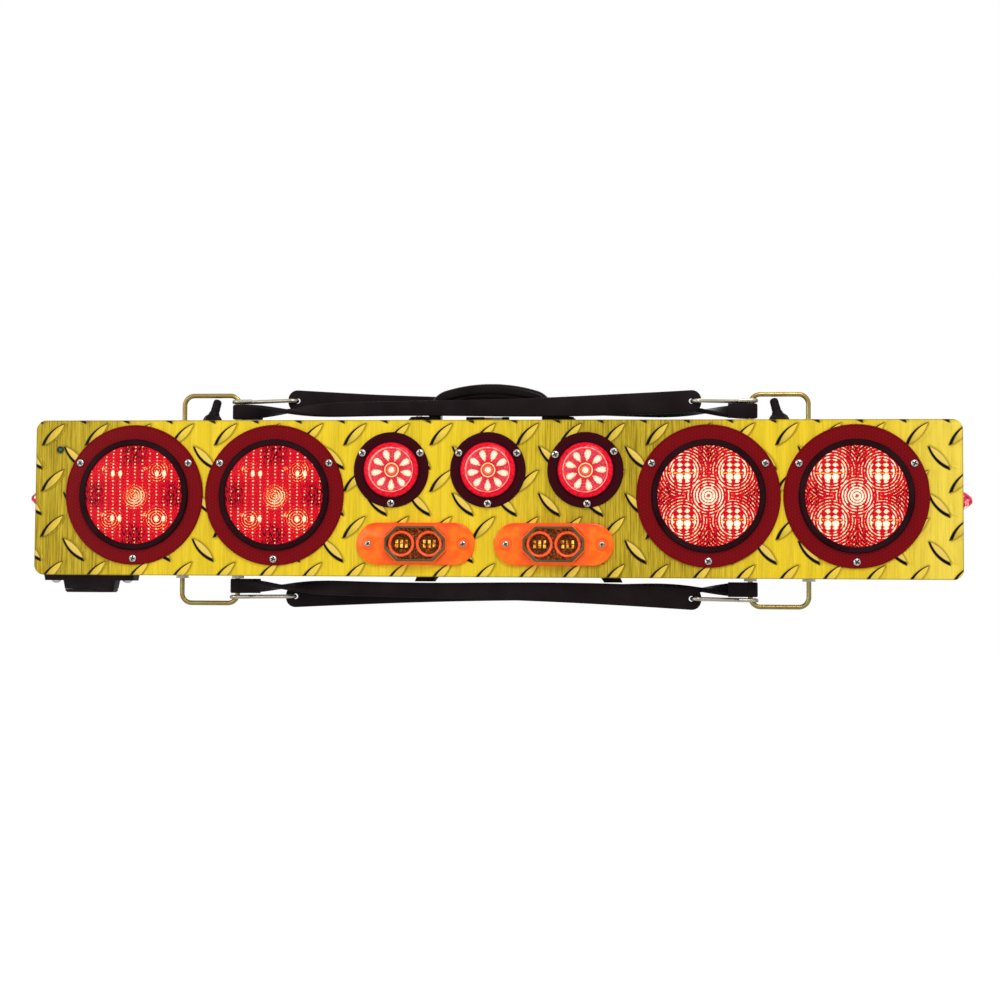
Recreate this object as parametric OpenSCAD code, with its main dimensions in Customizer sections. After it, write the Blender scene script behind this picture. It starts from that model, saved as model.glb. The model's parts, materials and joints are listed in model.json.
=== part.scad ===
// Wide load light bar: a battery lamp bar that is strapped to the back of a wide load.
// The back face lies on y = 0 with the origin at its centre, the lamps face -Y and +Z is up.

/* [Face plate and housing] */
// Width of the face plate
face_w = 915; // [905:5:980]
// Height of the plate above and below the stop lamps' flanges
face_margin = 7.65; // [6.2:0.05:12]
// Corner radius of the face plate
face_r = 10; // [6:1:14]
// Thickness of the face plate
plate_t = 2.5; // [2:0.5:4]
// Thickness of the printed film
film_t = 0.4; // [0.3:0.1:0.8]
// How far the plate stands out past the housing walls
overhang = 2.5; // [1.5:0.5:5]
// Depth of the housing pan
pan_d = 50; // [48:1:70]
// Wall of the housing pan
pan_wall = 2; // [1.5:0.5:3]
// Width of the rim that the plate is riveted to
rim_w = 11; // [9:0.5:11.5]
// Body diameter of the flush rivets
rivet_d = 3.2; // [2.4:0.2:4]

/* [Tread pattern] */
// Spacing of the lugs along the bar
lug_pitch_x = 42.8; // [38:0.2:50]
// Spacing of the lugs up the bar
lug_pitch_z = 46; // [42:0.5:50]
// Length of one lug
lug_l = 31; // [24:0.5:34]
// Width of one lug
lug_w = 7.5; // [5:0.5:10]
// Height of a lug over the film
lug_h = 0.5; // [0.3:0.1:1]
// Lean of the lugs from the horizontal
lug_lean = 46; // [40:1:50]

/* [Stop lamps] */
// Diameter of the reflective flange
stop_flange_d = 139.7; // [138:0.1:141]
// Thickness of the reflective flange
stop_flange_t = 2.4; // [2:0.2:3.4]
// Width of the flange that shows round the grommet
stop_show_w = 14.35; // [13.5:0.05:16]
// Height of the grommet's lip over the flange
stop_lip_h = 3; // [2:0.5:4]
// Width of the grommet's lip round the lens
stop_lip_w = 6.3; // [5.8:0.1:7.5]
// Depth of the lamp body behind the plate
stop_depth = 34; // [26:1:36]
// Gap between the two flanges of a pair
stop_gap = 2.3; // [1.8:0.1:6]
// Share of the row's spare length that lies at each end of the plate
end_share = 0.2477; // [0.2:0.0001:0.27]
// Height of the lamp centres over the plate's middle
stop_z = 2.8; // [-1:0.2:4]
// Distance of the flange screws from the flange's edge
stop_screw_in = 6.35; // [5.9:0.05:6.8]
// Offset of the four outer optics, sideways and up, as a share of the lens diameter
optic_share = 0.2439; // [0.21:0.0001:0.25]

/* [Marker lamps] */
// Diameter of the marker flange
mark_flange_d = 74.6; // [74:0.2:78]
// Thickness of the marker flange
mark_flange_t = 2.2; // [1.8:0.2:3]
// Width of the marker flange round the lens
mark_rim_w = 10.3; // [10:0.1:12]
// Depth of the marker body behind the plate
mark_depth = 24; // [18:1:28]
// Share of the row's spare length that lies between two marker lamps
mark_share = 0.1659; // [0.1:0.0001:0.2]
// Middle of the row of marker lamps along the bar
mark_mid_x = -1.2; // [-5:0.2:5]
// Height of the marker lamps over the plate's middle
mark_z = 28; // [26:0.5:32]
// Number of outer LEDs in a marker lamp
mark_leds = 9; // [6:1:10]

/* [Strobe lamps] */
// Length of the strobe lens
strobe_l = 117; // [112:0.5:122]
// Height of the strobe lens
strobe_h = 41.5; // [38:0.5:42]
// Distance of the strobe screws from the lens's ends
strobe_screw_in = 11.5; // [9:0.5:13]
// Width of the lens's base above and below the dark bezel
strobe_edge = 4; // [3:0.25:6]
// Spacing of the two strobes
strobe_pitch = 136; // [130:0.5:150]
// Middle of the two strobes along the bar
strobe_mid_x = -4; // [-8:0.5:4]
// Height of the strobes over the plate's middle
strobe_z = -45; // [-48:0.5:-44]
// Width of the bezel above and below a reflector cup
cup_margin = 4.75; // [4.5:0.25:6]
// Gap between the two cups
cup_gap = 3.4; // [2:0.2:4.4]

/* [Tie loops] */
// Diameter of the loop's rod
rod_d = 4.8; // [4:0.2:5.6]
// Spacing of the loop's two legs
loop_w = 57; // [52:1:64]
// Height of the loop's bar over the housing
loop_reach = 30; // [27:0.5:36]
// Across flats of the loop nuts
nut_af = 11; // [9:0.5:12]
// Height of the loop nuts
nut_h = 5; // [4:0.5:5.5]

/* [Rubber straps and hooks] */
// Thickness of the rubber strap
strap_t = 4.6; // [3.6:0.2:5]
// Width of the strap at its loop
strap_w = 14.6; // [12:0.2:15]
// Width of the strap at its hole end
paddle_w = 22; // [18:0.5:23]
// Diameter of the hook wire
hook_d = 4; // [3:0.2:4.4]

/* [Carry handle] */
// Span between the outer faces of the handle's legs
handle_span = 125; // [110:1:132]
// Height of the handle over the housing
handle_h = 40.5; // [37:0.5:46]
// Thickness of the grip
grip_t = 12; // [9:0.5:13]
// Width of the grip
grip_w = 24; // [20:0.5:25]
// Length of one foot past its leg
foot_l = 21.5; // [20:0.5:30]
// Thickness of a foot
foot_t = 7.5; // [5:0.5:9]

/* [Toggle switches] */
// Across flats of the boot's base
boot_af = 17; // [15:0.5:18]
// Height of the boot's base
boot_base_h = 9.5; // [8.5:0.5:11]
// Diameter of the boot's sleeve
sleeve_d = 8.6; // [8:0.2:10]
// Air between an upright boot and the loop's bar
lever_room = 0.7; // [0.6:0.1:3]
// Diameter of the bat lever
lever_d = 4.6; // [3.6:0.2:5]
// Lean of the lever at either end of its throw
lever_lean = 15; // [10:1:18]

/* [Charging socket] */
// Distance of the socket's middle from the plate's left end
socket_in = 50.5; // [50:0.5:60]
// Distance of the socket's middle behind the face
socket_back = 27; // [24:0.5:30]
// Length of the socket's flange
socket_flange_l = 94; // [88:1:96]
// Width of the socket's flange
socket_flange_w = 26; // [24:0.5:30]
// Thickness of the socket's flange
socket_flange_t = 8; // [6:0.5:9]
// Length of the flange past the body at each end
socket_tab_l = 20; // [17:0.5:22]
// Width of the flange past the body on each side
socket_step = 1; // [0.5:0.25:2]
// Depth of the body below the flange
socket_h = 8.5; // [7:0.5:12]
// Thickness of the flap lid
lid_t = 3.4; // [2.6:0.2:5]
// Number of contact pins
pin_count = 4; // [2:1:5]

/* [Other lamps and fittings] */
// Diameter of the side lamps
side_lamp_d = 21; // [14:0.5:22]
// How far the side lamps stand out of the end walls
side_lamp_out = 16; // [10:0.5:20]
// Pilot light's distance from the rim's upright edge, as a share of the plate's end past the lamps
pilot_share_x = 0.3633; // [0.25:0.0001:0.45]
// Pilot light's distance from the rim's upper edge, as a share of the plate's end past the lamps
pilot_share_z = 0.5055; // [0.3:0.0001:0.6]
// Diameter of the pilot light's bezel
pilot_d = 7; // [6:0.5:9]
// Length of a bottom bumper
bumper_l = 20; // [16:0.5:24]
// Height of a bottom bumper
bumper_h = 7; // [5:0.5:8]
// Diameter of the fuse holder
fuse_d = 8; // [6:0.5:9]
// Head diameter of the lamp screws
screw_head_d = 7.7; // [6.4:0.1:8]

/* [Hidden] */
$fn = 64;

// Clearances: slip is a sliding seat, clear is open air round a piece, bite is a screw in its hole
slip = 0.1;
clear = 0.5;
bite = 0.05;
seat = 0.3;

// Main planes of the housing, from the back face at y = 0 to the film's surface at face_y
face_h = stop_flange_d + 2 * face_margin;
plate_y = -pan_d;
film_y = plate_y - plate_t;
face_y = film_y - film_t;
pan_w = face_w - 2 * overhang;
pan_h = face_h - 2 * overhang;
pan_r = max(face_r - overhang, 3);
top_z = pan_h / 2;
mid_y = -pan_d / 2;
skin = plate_t + film_t;

// Row of lamps: the length that the flanges leave free is shared out between them
spare = face_w - 4 * stop_flange_d - 3 * mark_flange_d - 2 * stop_gap;
end_gap = end_share * spare;
stop_pitch = stop_flange_d + stop_gap;
stop_mid_x = face_w / 2 - end_gap - stop_flange_d - stop_gap / 2;
mark_pitch = mark_flange_d + mark_share * spare;

// Stop lamps
stop_grommet_d = stop_flange_d - 2 * stop_show_w;
stop_lens_d = stop_grommet_d - 2 * stop_lip_w;
optic_off = stop_lens_d * optic_share;
stop_xs = [-stop_mid_x - stop_pitch / 2, -stop_mid_x + stop_pitch / 2,
           stop_mid_x - stop_pitch / 2, stop_mid_x + stop_pitch / 2];
stop_screw_circle = stop_flange_d - 2 * stop_screw_in;
stop_hole_d = stop_grommet_d + 4;
stop_throat_d = stop_grommet_d - 7;
stop_rim_d = stop_lens_d + 2.4;
screw_angles = [30, 150, 270];
roll_w = 2;
roll_h = 0.5;
screw_d = 3.9;
screw_l = 9;

// Marker lamps
mark_xs = [for (i = [-1:1]) mark_mid_x + i * mark_pitch];
mark_lens_d = mark_flange_d - 2 * mark_rim_w;
mark_collar_w = 1.8;
mark_screw_circle = mark_flange_d - mark_rim_w + mark_collar_w;
mark_head_d = mark_rim_w - mark_collar_w - 0.8;
mark_hole_d = mark_lens_d + 2;
mark_turns = [0, 0, 3];
led_turns = [69, 69, 82];

// Middle of one lug that rises to the right
lug_at = [-8, 17.3];

// Rivets between the lamps, on the middle of the rim that shows inside the pan's wall
rivet_xs = [0, each [for (k = [-1:1], s = [-1, 1]) s * (stop_mid_x + k * stop_pitch)]];
rivet_z = pan_h / 2 - (rim_w + pan_wall) / 2;
rivet_head_d = rivet_d * 1.8;
rivet_head_h = rivet_d / 4;

// Strobe lamps
strobe_xs = [strobe_mid_x - strobe_pitch / 2, strobe_mid_x + strobe_pitch / 2];
strobe_base_t = 4;
strobe_dome_h = 10.5;
strobe_screw_span = strobe_l - 2 * strobe_screw_in;
bezel_h = strobe_h - 2 * strobe_edge;
cup_d = bezel_h - 2 * cup_margin;
cup_pitch = cup_d + cup_gap;
bezel_l = cup_pitch + cup_d * 1.3167;
bezel_cut = bezel_h * 0.24;
strobe_ear_d = strobe_screw_in + 0.5;
lens_wall = 1.6;
strobe_lead_d = 6;

// Tie loops
loop_xs = [-stop_mid_x, stop_mid_x];
loop_bend = loop_reach - nut_h - strap_w - 0.4;
leg_hole_d = rod_d + 2 * slip;
leg_in = nut_h + pan_wall + 4;
nut_flange_d = nut_af + 3;

// Switches
switch_body = [13, 20, 17];
switch_tag_l = 4.1;
bush_d = 11.6;
bush_h = boot_base_h - 3.5;
pivot_h = bush_h - 2;
lever_pivot_z = top_z + pivot_h;
ball_d = 6.6;
boot_wall = (sleeve_d - lever_d) / 2 - slip;
lever_l = loop_reach - rod_d / 2 - pivot_h - boot_wall - lever_room;

// Carry handle: a wide arc between two tight shoulders
grip_r = 150;
shoulder_r = 18;
leg_x = (handle_span - grip_t) / 2;
arc_half = asin((leg_x - shoulder_r) / (grip_r - shoulder_r));
grip_z = top_z + handle_h - grip_t / 2;
shoulder_z = grip_z - grip_r + (grip_r - shoulder_r) * cos(arc_half);
foot_screw_x = handle_span / 2 + foot_l / 2;
dome_screw_d = 4;
dome_screw_l = dome_screw_d * 3.5;
foot_head_d = dome_screw_d * 2;
socket_head_d = dome_screw_d * 2.5;

// Charging socket
socket_x = -face_w / 2 + socket_in;
socket_y = face_y + socket_back;
socket_l = socket_flange_l - 2 * socket_tab_l;
socket_w = socket_flange_w - 2 * socket_step;
socket_well = [socket_l - 10, socket_w - 8];
socket_inner_h = 13;
socket_wall = 2;
socket_roof = 3;
socket_draft = 0.94;
socket_box = [for (w = socket_well) w + 2 * socket_wall];
pin_l = 11;
pin_d = 3;
socket_screw_span = (socket_flange_l + socket_l) / 2;
lid_z = -top_z - socket_flange_t - socket_h;
hinge_r = 1.7;
hinge_y = socket_y + socket_w / 2 + hinge_r + slip;
hinge_z = lid_z - lid_t / 2;
hinge_pin_d = 1.6;

// Straps: all four share the plan of a band that bows round the handle, in front or behind
eye_r = rod_d / 2 + seat + strap_t / 2;
bow = grip_w / 2 + strap_t / 2 + 1.6;
strap_leg_x = stop_mid_x - loop_w / 2;
hook_span = 58;
hole_in = 9.5;
paddle_in = 7;
paddle_hole_d = hook_d + 3.2;
strap_run = 2 * strap_leg_x - hook_span + hole_in;
hole_share = 1 - hole_in / strap_run;
climb_power = 2.2;
twist_run = 135;
fold_tail = 22;

// Heights of each strap's middle at its loop, in the middle and at its hole
strap_rest = top_z + nut_h + 0.9 + strap_w / 2;
top_front = [for (h = [0, 2.2, 9.4]) strap_rest + h];
top_back = [for (h = [0.2, 7, 12]) strap_rest + h];
bottom_front = [for (h = [-0.6, 2.8, 9.2]) -strap_rest - h];
bottom_back = [for (h = [0, 4.4, 9.6]) -strap_rest - h];

// Hooks: one bend round the loop's leg and one through the strap's hole
hook_r = rod_d / 2 + 1 + hook_d / 2;
hook_eye_r = strap_t / 2 + 1.2 + hook_d / 2;
hook_drop = 6.4;
hook_z = top_z + loop_reach - hook_drop;
hook_shift = loop_bend - sqrt(pow(loop_bend, 2) - pow(max(loop_bend - hook_drop, 0), 2));
hook_tail = 13;

// Bumpers and fuse holder
bumper_xs = [-62, 118];
bumper_toe = 5;
fuse_x = -4;
fuse_l = 43;

// Inner fittings
plug_drop = 12;
side_stub_l = 5;
battery = [170, pan_d - 16, 54];
board = [216, 1.6, 50];
board_gap = 6;
board_at = [mark_mid_x, -pan_wall - board_gap - board[1] / 2, mark_z + 8];
loom_d = 7;
branch_d = 6;
lead_d = 5;
branch_end = branch_d / 2 + bite;
lead_end = lead_d / 2 + bite;
stub_l = 6;
loom_z = -top_z + pan_wall + loom_d / 2 + 4;
loom_y = -pan_wall - loom_d / 2 - seat;
loom_end = pan_w / 2 - 16;
battery_at = [-8, -pan_wall - battery[1] / 2, loom_z + loom_d / 2 + 5 + battery[2] / 2];
riser_x = board_at[0] + board[0] / 2 - loom_d;
pilot_at = [-face_w / 2 + overhang + rim_w + pilot_share_x * end_gap,
            pan_h / 2 - rim_w - pilot_share_z * end_gap];

// Puts its children on the film at (x, z), with their own z axis pointing out of the face
module on_face(x, z, out = 0) {
    translate([x, face_y - out, z]) rotate([90, 0, 0]) children();
}

// A rectangle with round corners, in exact arcs
module rounded(w, h, r) {
    square([w - 2 * r, h], center = true);
    square([w, h - 2 * r], center = true);
    for (x = [-1, 1], y = [-1, 1]) translate([x * (w / 2 - r), y * (h / 2 - r)]) circle(r);
}

// A flat ring
module ring(d_out, d_in, h) {
    difference() {
        cylinder(d = d_out, h = h);
        translate([0, 0, -1]) cylinder(d = d_in, h = h + 2);
    }
}

// A pan-head screw that points into the face, with its head's seat at z = 0
module pan_screw(head_d, shank_d, length) {
    difference() {
        rotate_extrude() polygon([[0, -length], [shank_d / 2 - 0.6, -length],
            [shank_d / 2, -length + 0.8], [shank_d / 2, 0], [head_d / 2, 0],
            [head_d / 2, 0.7], [head_d / 2 - 0.5, 1.6], [head_d / 4, 2.3], [0, 2.4]]);
        for (a = [0, 90]) rotate([0, 0, a + 20])
            translate([0, 0, 2]) cube([head_d * 0.56, 0.9, 1.8], center = true);
    }
}

// A dome-head screw with a plain hex recess
module dome_screw(head_d, shank_d, length) {
    difference() {
        rotate_extrude() union() {
            translate([0, -length]) square([shank_d / 2, length]);
            intersection() {
                translate([0, -head_d * 0.3]) circle(head_d * 0.58);
                square([head_d / 2, head_d / 2]);
            }
        }
        translate([0, 0, head_d * 0.28 - 1.4]) cylinder(d = head_d * 0.36, h = 3, $fn = 6);
    }
}

// One lug of the tread pattern: the common part of two round discs
module lug_shape() {
    disc_r = (lug_l * lug_l + lug_w * lug_w) / (4 * lug_w);
    intersection_for(s = [-1, 1]) translate([0, s * (disc_r - lug_w / 2)]) circle(disc_r, $fn = 128);
}

// All lugs: two sets that lean left and right, the second half a pitch off each way
module lug_field() {
    cols = ceil(face_w / lug_pitch_x / 2);
    rows = ceil(face_h / lug_pitch_z / 2);
    for (i = [-cols:cols], j = [-rows:rows]) {
        at = lug_at + [i * lug_pitch_x, j * lug_pitch_z];
        if (lug_shows(at)) translate(at) rotate(lug_lean) lug_shape();
        off = at + [lug_pitch_x, lug_pitch_z] / 2;
        if (lug_shows(off)) translate(off) rotate(-lug_lean) lug_shape();
    }
}

// True where some of a lug at this place stands clear of every lamp and reaches the plate
function lug_shows(p) = abs(p[0]) < (face_w + lug_l * 0.6) / 2 && abs(p[1]) < (face_h + lug_l * 0.6) / 2
    && min([for (x = stop_xs) norm(p - [x, stop_z])]) > stop_flange_d / 2 - lug_l * 0.25
    && min([for (x = mark_xs) norm(p - [x, mark_z])]) > mark_flange_d / 2 - lug_l * 0.25
    && min([for (x = strobe_xs) norm([max(abs(p[0] - x) - (strobe_l - strobe_h) / 2, 0),
        p[1] - strobe_z])]) > strobe_h / 2 - lug_l * 0.25;

// The places that lamps take on the face, a little larger than each by grow
module lamp_footprints(grow) {
    for (x = stop_xs) translate([x, stop_z]) circle(d = stop_flange_d + 2 * grow, $fn = 128);
    for (x = mark_xs) translate([x, mark_z]) circle(d = mark_flange_d + 2 * grow, $fn = 96);
    for (x = strobe_xs) translate([x, strobe_z]) stadium(strobe_l + 2 * grow, strobe_h + 2 * grow);
    translate(pilot_at) circle(d = pilot_d + 2 * grow);
}

// A stadium outline of length l and height h
module stadium(l, h) {
    square([l - h, h], center = true);
    for (s = [-1, 1]) translate([s * (l - h) / 2, 0]) circle(d = h);
}

// Holes through the plate and the film: lamps, screws, leads and the pilot light
module face_holes() {
    for (x = stop_xs) translate([x, stop_z]) {
        circle(d = stop_hole_d);
        screw_spots(stop_screw_circle) circle(d = screw_d + 2 * bite);
    }
    for (i = [0:2]) translate([mark_xs[i], mark_z]) {
        circle(d = mark_hole_d);
        screw_spots(mark_screw_circle, mark_turns[i]) circle(d = screw_d + 2 * bite);
    }
    for (x = strobe_xs) translate([x, strobe_z]) {
        circle(d = strobe_lead_d + 2 * clear);
        for (s = [-1, 1]) translate([s * strobe_screw_span / 2, 0]) circle(d = screw_d + 2 * bite);
    }
    translate(pilot_at) circle(d = pilot_d - 1.6);
}

// Repeats its children at the three screws of a round flange
module screw_spots(circle_d, turn = 0) {
    for (a = screw_angles) rotate(a + turn) translate([circle_d / 2, 0]) rotate(-a - turn) children();
}

// Repeats its children at every rivet along the rim
module rivet_spots() {
    for (x = rivet_xs, s = [-1, 1]) translate([x, s * rivet_z]) children();
}

// The housing: a drawn pan with a flat back and an inward rim round its mouth
module housing_pan() color("silver") difference() {
    rotate([90, 0, 0]) difference() {
        linear_extrude(pan_d) rounded(pan_w, pan_h, pan_r);
        translate([0, 0, pan_wall]) linear_extrude(pan_d - 2 * pan_wall)
            rounded(pan_w - 2 * pan_wall, pan_h - 2 * pan_wall, max(pan_r - pan_wall, 1));
        translate([0, 0, pan_d / 2]) linear_extrude(pan_d)
            rounded(pan_w - 2 * rim_w, pan_h - 2 * rim_w, 6);
        translate([0, 0, pan_d - pan_wall - 1]) linear_extrude(pan_wall + 2)
            rivet_spots() circle(d = rivet_d + bite);
    }
    for (x = loop_xs, s = [-1, 1], v = [-1, 1]) translate([x + s * loop_w / 2, mid_y, v * top_z])
        cylinder(d = leg_hole_d, h = 4 * pan_wall, center = true);
    for (x = loop_xs) translate([x, mid_y, top_z])
        cylinder(d = bush_d + 2 * slip, h = 4 * pan_wall, center = true);
    for (s = [-1, 1]) translate([s * foot_screw_x, mid_y, top_z])
        cylinder(d = dome_screw_d + 2 * bite, h = 4 * pan_wall, center = true);
    for (s = [-1, 1]) translate([socket_x + s * socket_screw_span / 2, socket_y, -top_z])
        cylinder(d = dome_screw_d + 2 * bite, h = 4 * pan_wall, center = true);
    translate([socket_x, socket_y, -top_z])
        cube([socket_box[0] + 2 * slip, socket_box[1] + 2 * slip, 4 * pan_wall], center = true);
    for (s = [-1, 1]) translate([s * pan_w / 2, mid_y, 0]) rotate([0, 90, 0])
        cylinder(d = side_lamp_d * 0.5 + 2 * slip, h = 4 * pan_wall, center = true);
}

// The flat plate that carries the lamps
module front_plate() color("lightgray") difference() {
    on_face(0, 0, -skin) linear_extrude(plate_t) difference() {
        rounded(face_w, face_h, face_r);
        face_holes();
        rivet_spots() circle(d = rivet_d + bite);
    }
    on_face(0, 0, -film_t - rivet_head_h) linear_extrude(rivet_d) rivet_spots() circle(d = rivet_head_d);
}

// The printed film with its tread pattern, cut off plainly at the edges and clear of the lamps
module face_film() color("gold") on_face(0, 0, -film_t) {
    linear_extrude(film_t) difference() {
        rounded(face_w, face_h, face_r);
        face_holes();
    }
    translate([0, 0, film_t]) linear_extrude(lug_h) difference() {
        intersection() {
            lug_field();
            rounded(face_w - 0.6, face_h - 0.6, face_r);
        }
        lamp_footprints(0.4);
    }
}

// Flush rivets under the film
module plate_rivets() color("silver") on_face(0, 0, -film_t) rivet_spots() {
    translate([0, 0, -rivet_head_h]) cylinder(d = rivet_head_d - bite, h = rivet_head_h);
    translate([0, 0, -plate_t - pan_wall]) cylinder(d = rivet_d, h = plate_t + pan_wall);
    translate([0, 0, -plate_t - pan_wall - rivet_d / 2]) cylinder(d = rivet_d * 1.6, h = rivet_d / 2);
}

// Reflective flange of a stop lamp, with a rolled outer edge
module stop_flange(i) color([0.5, 0.02, 0.06]) on_face(stop_xs[i], stop_z) difference() {
    rotate_extrude($fn = 128) polygon([
        [stop_throat_d / 2, 0], [stop_flange_d / 2, 0], [stop_flange_d / 2, stop_flange_t * 0.55],
        [stop_flange_d / 2 - roll_w * 0.35, stop_flange_t],
        [stop_flange_d / 2 - roll_w * 0.7, stop_flange_t],
        [stop_flange_d / 2 - roll_w, stop_flange_t - roll_h],
        [stop_grommet_d / 2 + roll_w * 0.8, stop_flange_t - roll_h],
        [stop_grommet_d / 2 + roll_w / 2, stop_flange_t], [stop_throat_d / 2, stop_flange_t]]);
    screw_spots(stop_screw_circle) translate([0, 0, -1]) cylinder(d = screw_d + 0.6, h = stop_flange_t + 2);
}

// Rubber grommet: a groove for the flange outside and a lip over the lens's edge inside
module stop_grommet() rotate_extrude($fn = 128) polygon([
    [stop_rim_d / 2 + slip, -skin - 3], [stop_grommet_d / 2 - 1, -skin - 3],
    [stop_grommet_d / 2, -skin - 1], [stop_grommet_d / 2, -slip], [stop_throat_d / 2 - slip, -slip],
    [stop_throat_d / 2 - slip, stop_flange_t + slip], [stop_grommet_d / 2, stop_flange_t + slip],
    [stop_grommet_d / 2, stop_flange_t + 1], [stop_grommet_d / 2 - 1.4, stop_flange_t + stop_lip_h],
    [stop_lens_d / 2 + 0.9, stop_flange_t + stop_lip_h], [stop_lens_d / 2 + slip, stop_flange_t + 2],
    [stop_lens_d / 2 + slip, stop_flange_t + slip], [stop_rim_d / 2 + slip, stop_flange_t + slip]]);

module stop_lamp_grommets() color([0.07, 0.07, 0.07])
    for (x = stop_xs) on_face(x, stop_z) stop_grommet();

// Red lens: a rim under the grommet's lip and five stepped round optics over pillow columns
module stop_lens(i) color([0.85, 0.05, 0.05, 0.8]) on_face(stop_xs[i], stop_z) {
    col_w = stop_lens_d / 12;
    translate([0, 0, -skin]) cylinder(d = stop_rim_d, h = skin + stop_flange_t, $fn = 128);
    cylinder(d = stop_lens_d, h = stop_flange_t + 1.4, $fn = 128);
    translate([0, 0, stop_flange_t + 1.2]) intersection() {
        cylinder(d = stop_lens_d - 3, h = 2, $fn = 128);
        for (k = [-6:6]) translate([k * col_w, 0, -col_w * 0.86]) rotate([90, 0, 0])
            cylinder(r = col_w, h = stop_lens_d, center = true, $fn = 48);
    }
    for (p = [[0, 0], [-1, -1], [-1, 1], [1, -1], [1, 1]])
        translate([p[0] * optic_off, p[1] * optic_off, stop_flange_t + 1]) {
            cylinder(r = optic_off * 0.52, h = 1.1, $fn = 48);
            cylinder(r = optic_off * 0.36, h = 1.5, $fn = 48);
            cylinder(r = optic_off * 0.19, h = 1.9, $fn = 48);
        }
}

// Body of a stop lamp, tapering back to a three-way plug block
module stop_body(i) color([0.15, 0.15, 0.16]) on_face(stop_xs[i], stop_z) {
    rotate_extrude($fn = 96) polygon([
        [0, -skin], [stop_rim_d / 2, -skin], [stop_rim_d / 2, -skin - 5],
        [stop_rim_d / 2 - 5, -skin - 7], [stop_rim_d / 2 - 9, -skin - stop_depth + 11],
        [stop_rim_d / 2 - 13, -skin - stop_depth + 8], [0, -skin - stop_depth + 8]]);
    translate([0, -plug_drop, -skin - stop_depth + 4.1]) cube([26, 14, 8.2], center = true);
}

// Dark flange of a marker lamp
module marker_flange(i) color([0.28, 0.02, 0.03]) on_face(mark_xs[i], mark_z) difference() {
    rotate_extrude($fn = 96) polygon([
        [mark_lens_d / 2 + slip, 0], [mark_flange_d / 2, 0], [mark_flange_d / 2, mark_flange_t * 0.5],
        [mark_flange_d / 2 - 0.8, mark_flange_t], [mark_lens_d / 2 + mark_collar_w, mark_flange_t],
        [mark_lens_d / 2 + mark_collar_w * 0.55, mark_flange_t + 1.6],
        [mark_lens_d / 2 + slip, mark_flange_t + 1.6]]);
    screw_spots(mark_screw_circle, mark_turns[i]) translate([0, 0, -1])
        cylinder(d = screw_d + 0.6, h = mark_flange_t + 2);
}

// Lens of a marker lamp: a shallow dome with a raised inner ring
module marker_lens(i) color([0.9, 0.1, 0.1, 0.6]) on_face(mark_xs[i], mark_z) difference() {
    union() {
        translate([0, 0, -skin]) cylinder(d = mark_lens_d - slip, h = skin + mark_flange_t + 1, $fn = 96);
        translate([0, 0, mark_flange_t + 1]) rotate_extrude($fn = 96) intersection() {
            dome_r = mark_lens_d * 0.9;
            translate([0, 3.6 - dome_r]) circle(dome_r, $fn = 128);
            square([mark_lens_d / 2 - 1, 4]);
        }
        translate([0, 0, mark_flange_t + 1]) ring(mark_lens_d * 0.84, mark_lens_d * 0.76, 2.6);
    }
    translate([0, 0, -skin - 1]) cylinder(d = mark_lens_d - 5, h = skin + 3.4, $fn = 96);
}

// Body of a marker lamp with its drop-shaped LEDs and a plug block at the back
module marker_body(i) color([0.75, 0.72, 0.7]) on_face(mark_xs[i], mark_z) {
    translate([0, 0, -skin - mark_depth + 6]) cylinder(d = mark_lens_d - 4, h = mark_depth - 6, $fn = 96);
    translate([0, -6, -skin - mark_depth + 3.1]) cube([18, 12, 6.2], center = true);
    translate([0, 0, -skin]) {
        cylinder(d = mark_lens_d * 0.24, h = 2.2, $fn = 48);
        for (k = [0:mark_leds - 1]) rotate(led_turns[i] + k * 360 / mark_leds) linear_extrude(1.6) {
            translate([mark_lens_d * 0.325, 0]) circle(mark_lens_d * 0.05, $fn = 32);
            polygon([[mark_lens_d * 0.15, 0], [mark_lens_d * 0.31, mark_lens_d * 0.047],
                [mark_lens_d * 0.31, -mark_lens_d * 0.047]]);
        }
    }
}

// Screws of the stop and marker lamps
module lamp_screws() color("silver") {
    for (x = stop_xs) on_face(x, stop_z, stop_flange_t - roll_h) screw_spots(stop_screw_circle)
        pan_screw(screw_head_d, screw_d, screw_l);
    for (i = [0:2]) on_face(mark_xs[i], mark_z, mark_flange_t) screw_spots(mark_screw_circle, mark_turns[i])
        pan_screw(mark_head_d, screw_d, screw_l);
}

// Octagon outline of the strobe's bezel
module bezel_outline(grow) {
    w = bezel_l / 2 + grow;
    h = bezel_h / 2 + grow;
    polygon([[-w, -h + bezel_cut], [-w + bezel_cut, -h], [w - bezel_cut, -h], [w, -h + bezel_cut],
        [w, h - bezel_cut], [w - bezel_cut, h], [-w + bezel_cut, h], [-w, h - bezel_cut]]);
}

// Amber strobe lens: a stadium base with two screw ears and a domed window over the module
module strobe_lens(i) color([1, 0.55, 0.05, 0.6]) on_face(strobe_xs[i], strobe_z) difference() {
    union() {
        linear_extrude(strobe_base_t - 1) stadium(strobe_l, strobe_h);
        linear_extrude(strobe_base_t) stadium(strobe_l - 3, strobe_h - 3);
        linear_extrude(strobe_dome_h - 2) bezel_outline(lens_wall + 0.2);
        linear_extrude(strobe_dome_h - 1) bezel_outline(lens_wall - 1);
        for (s = [-1, 1]) translate([s * cup_pitch / 2, 0, 0])
            cylinder(d = cup_d + 1, h = strobe_dome_h, $fn = 96);
        for (s = [-1, 1]) translate([s * strobe_screw_span / 2, 0, 0])
            cylinder(d = strobe_ear_d, h = strobe_base_t + 0.8);
    }
    translate([0, 0, -1]) linear_extrude(strobe_dome_h - 3) bezel_outline(slip);
    for (s = [-1, 1]) translate([s * strobe_screw_span / 2, 0, -1]) cylinder(d = screw_d + 0.6, h = 10);
}

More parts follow.
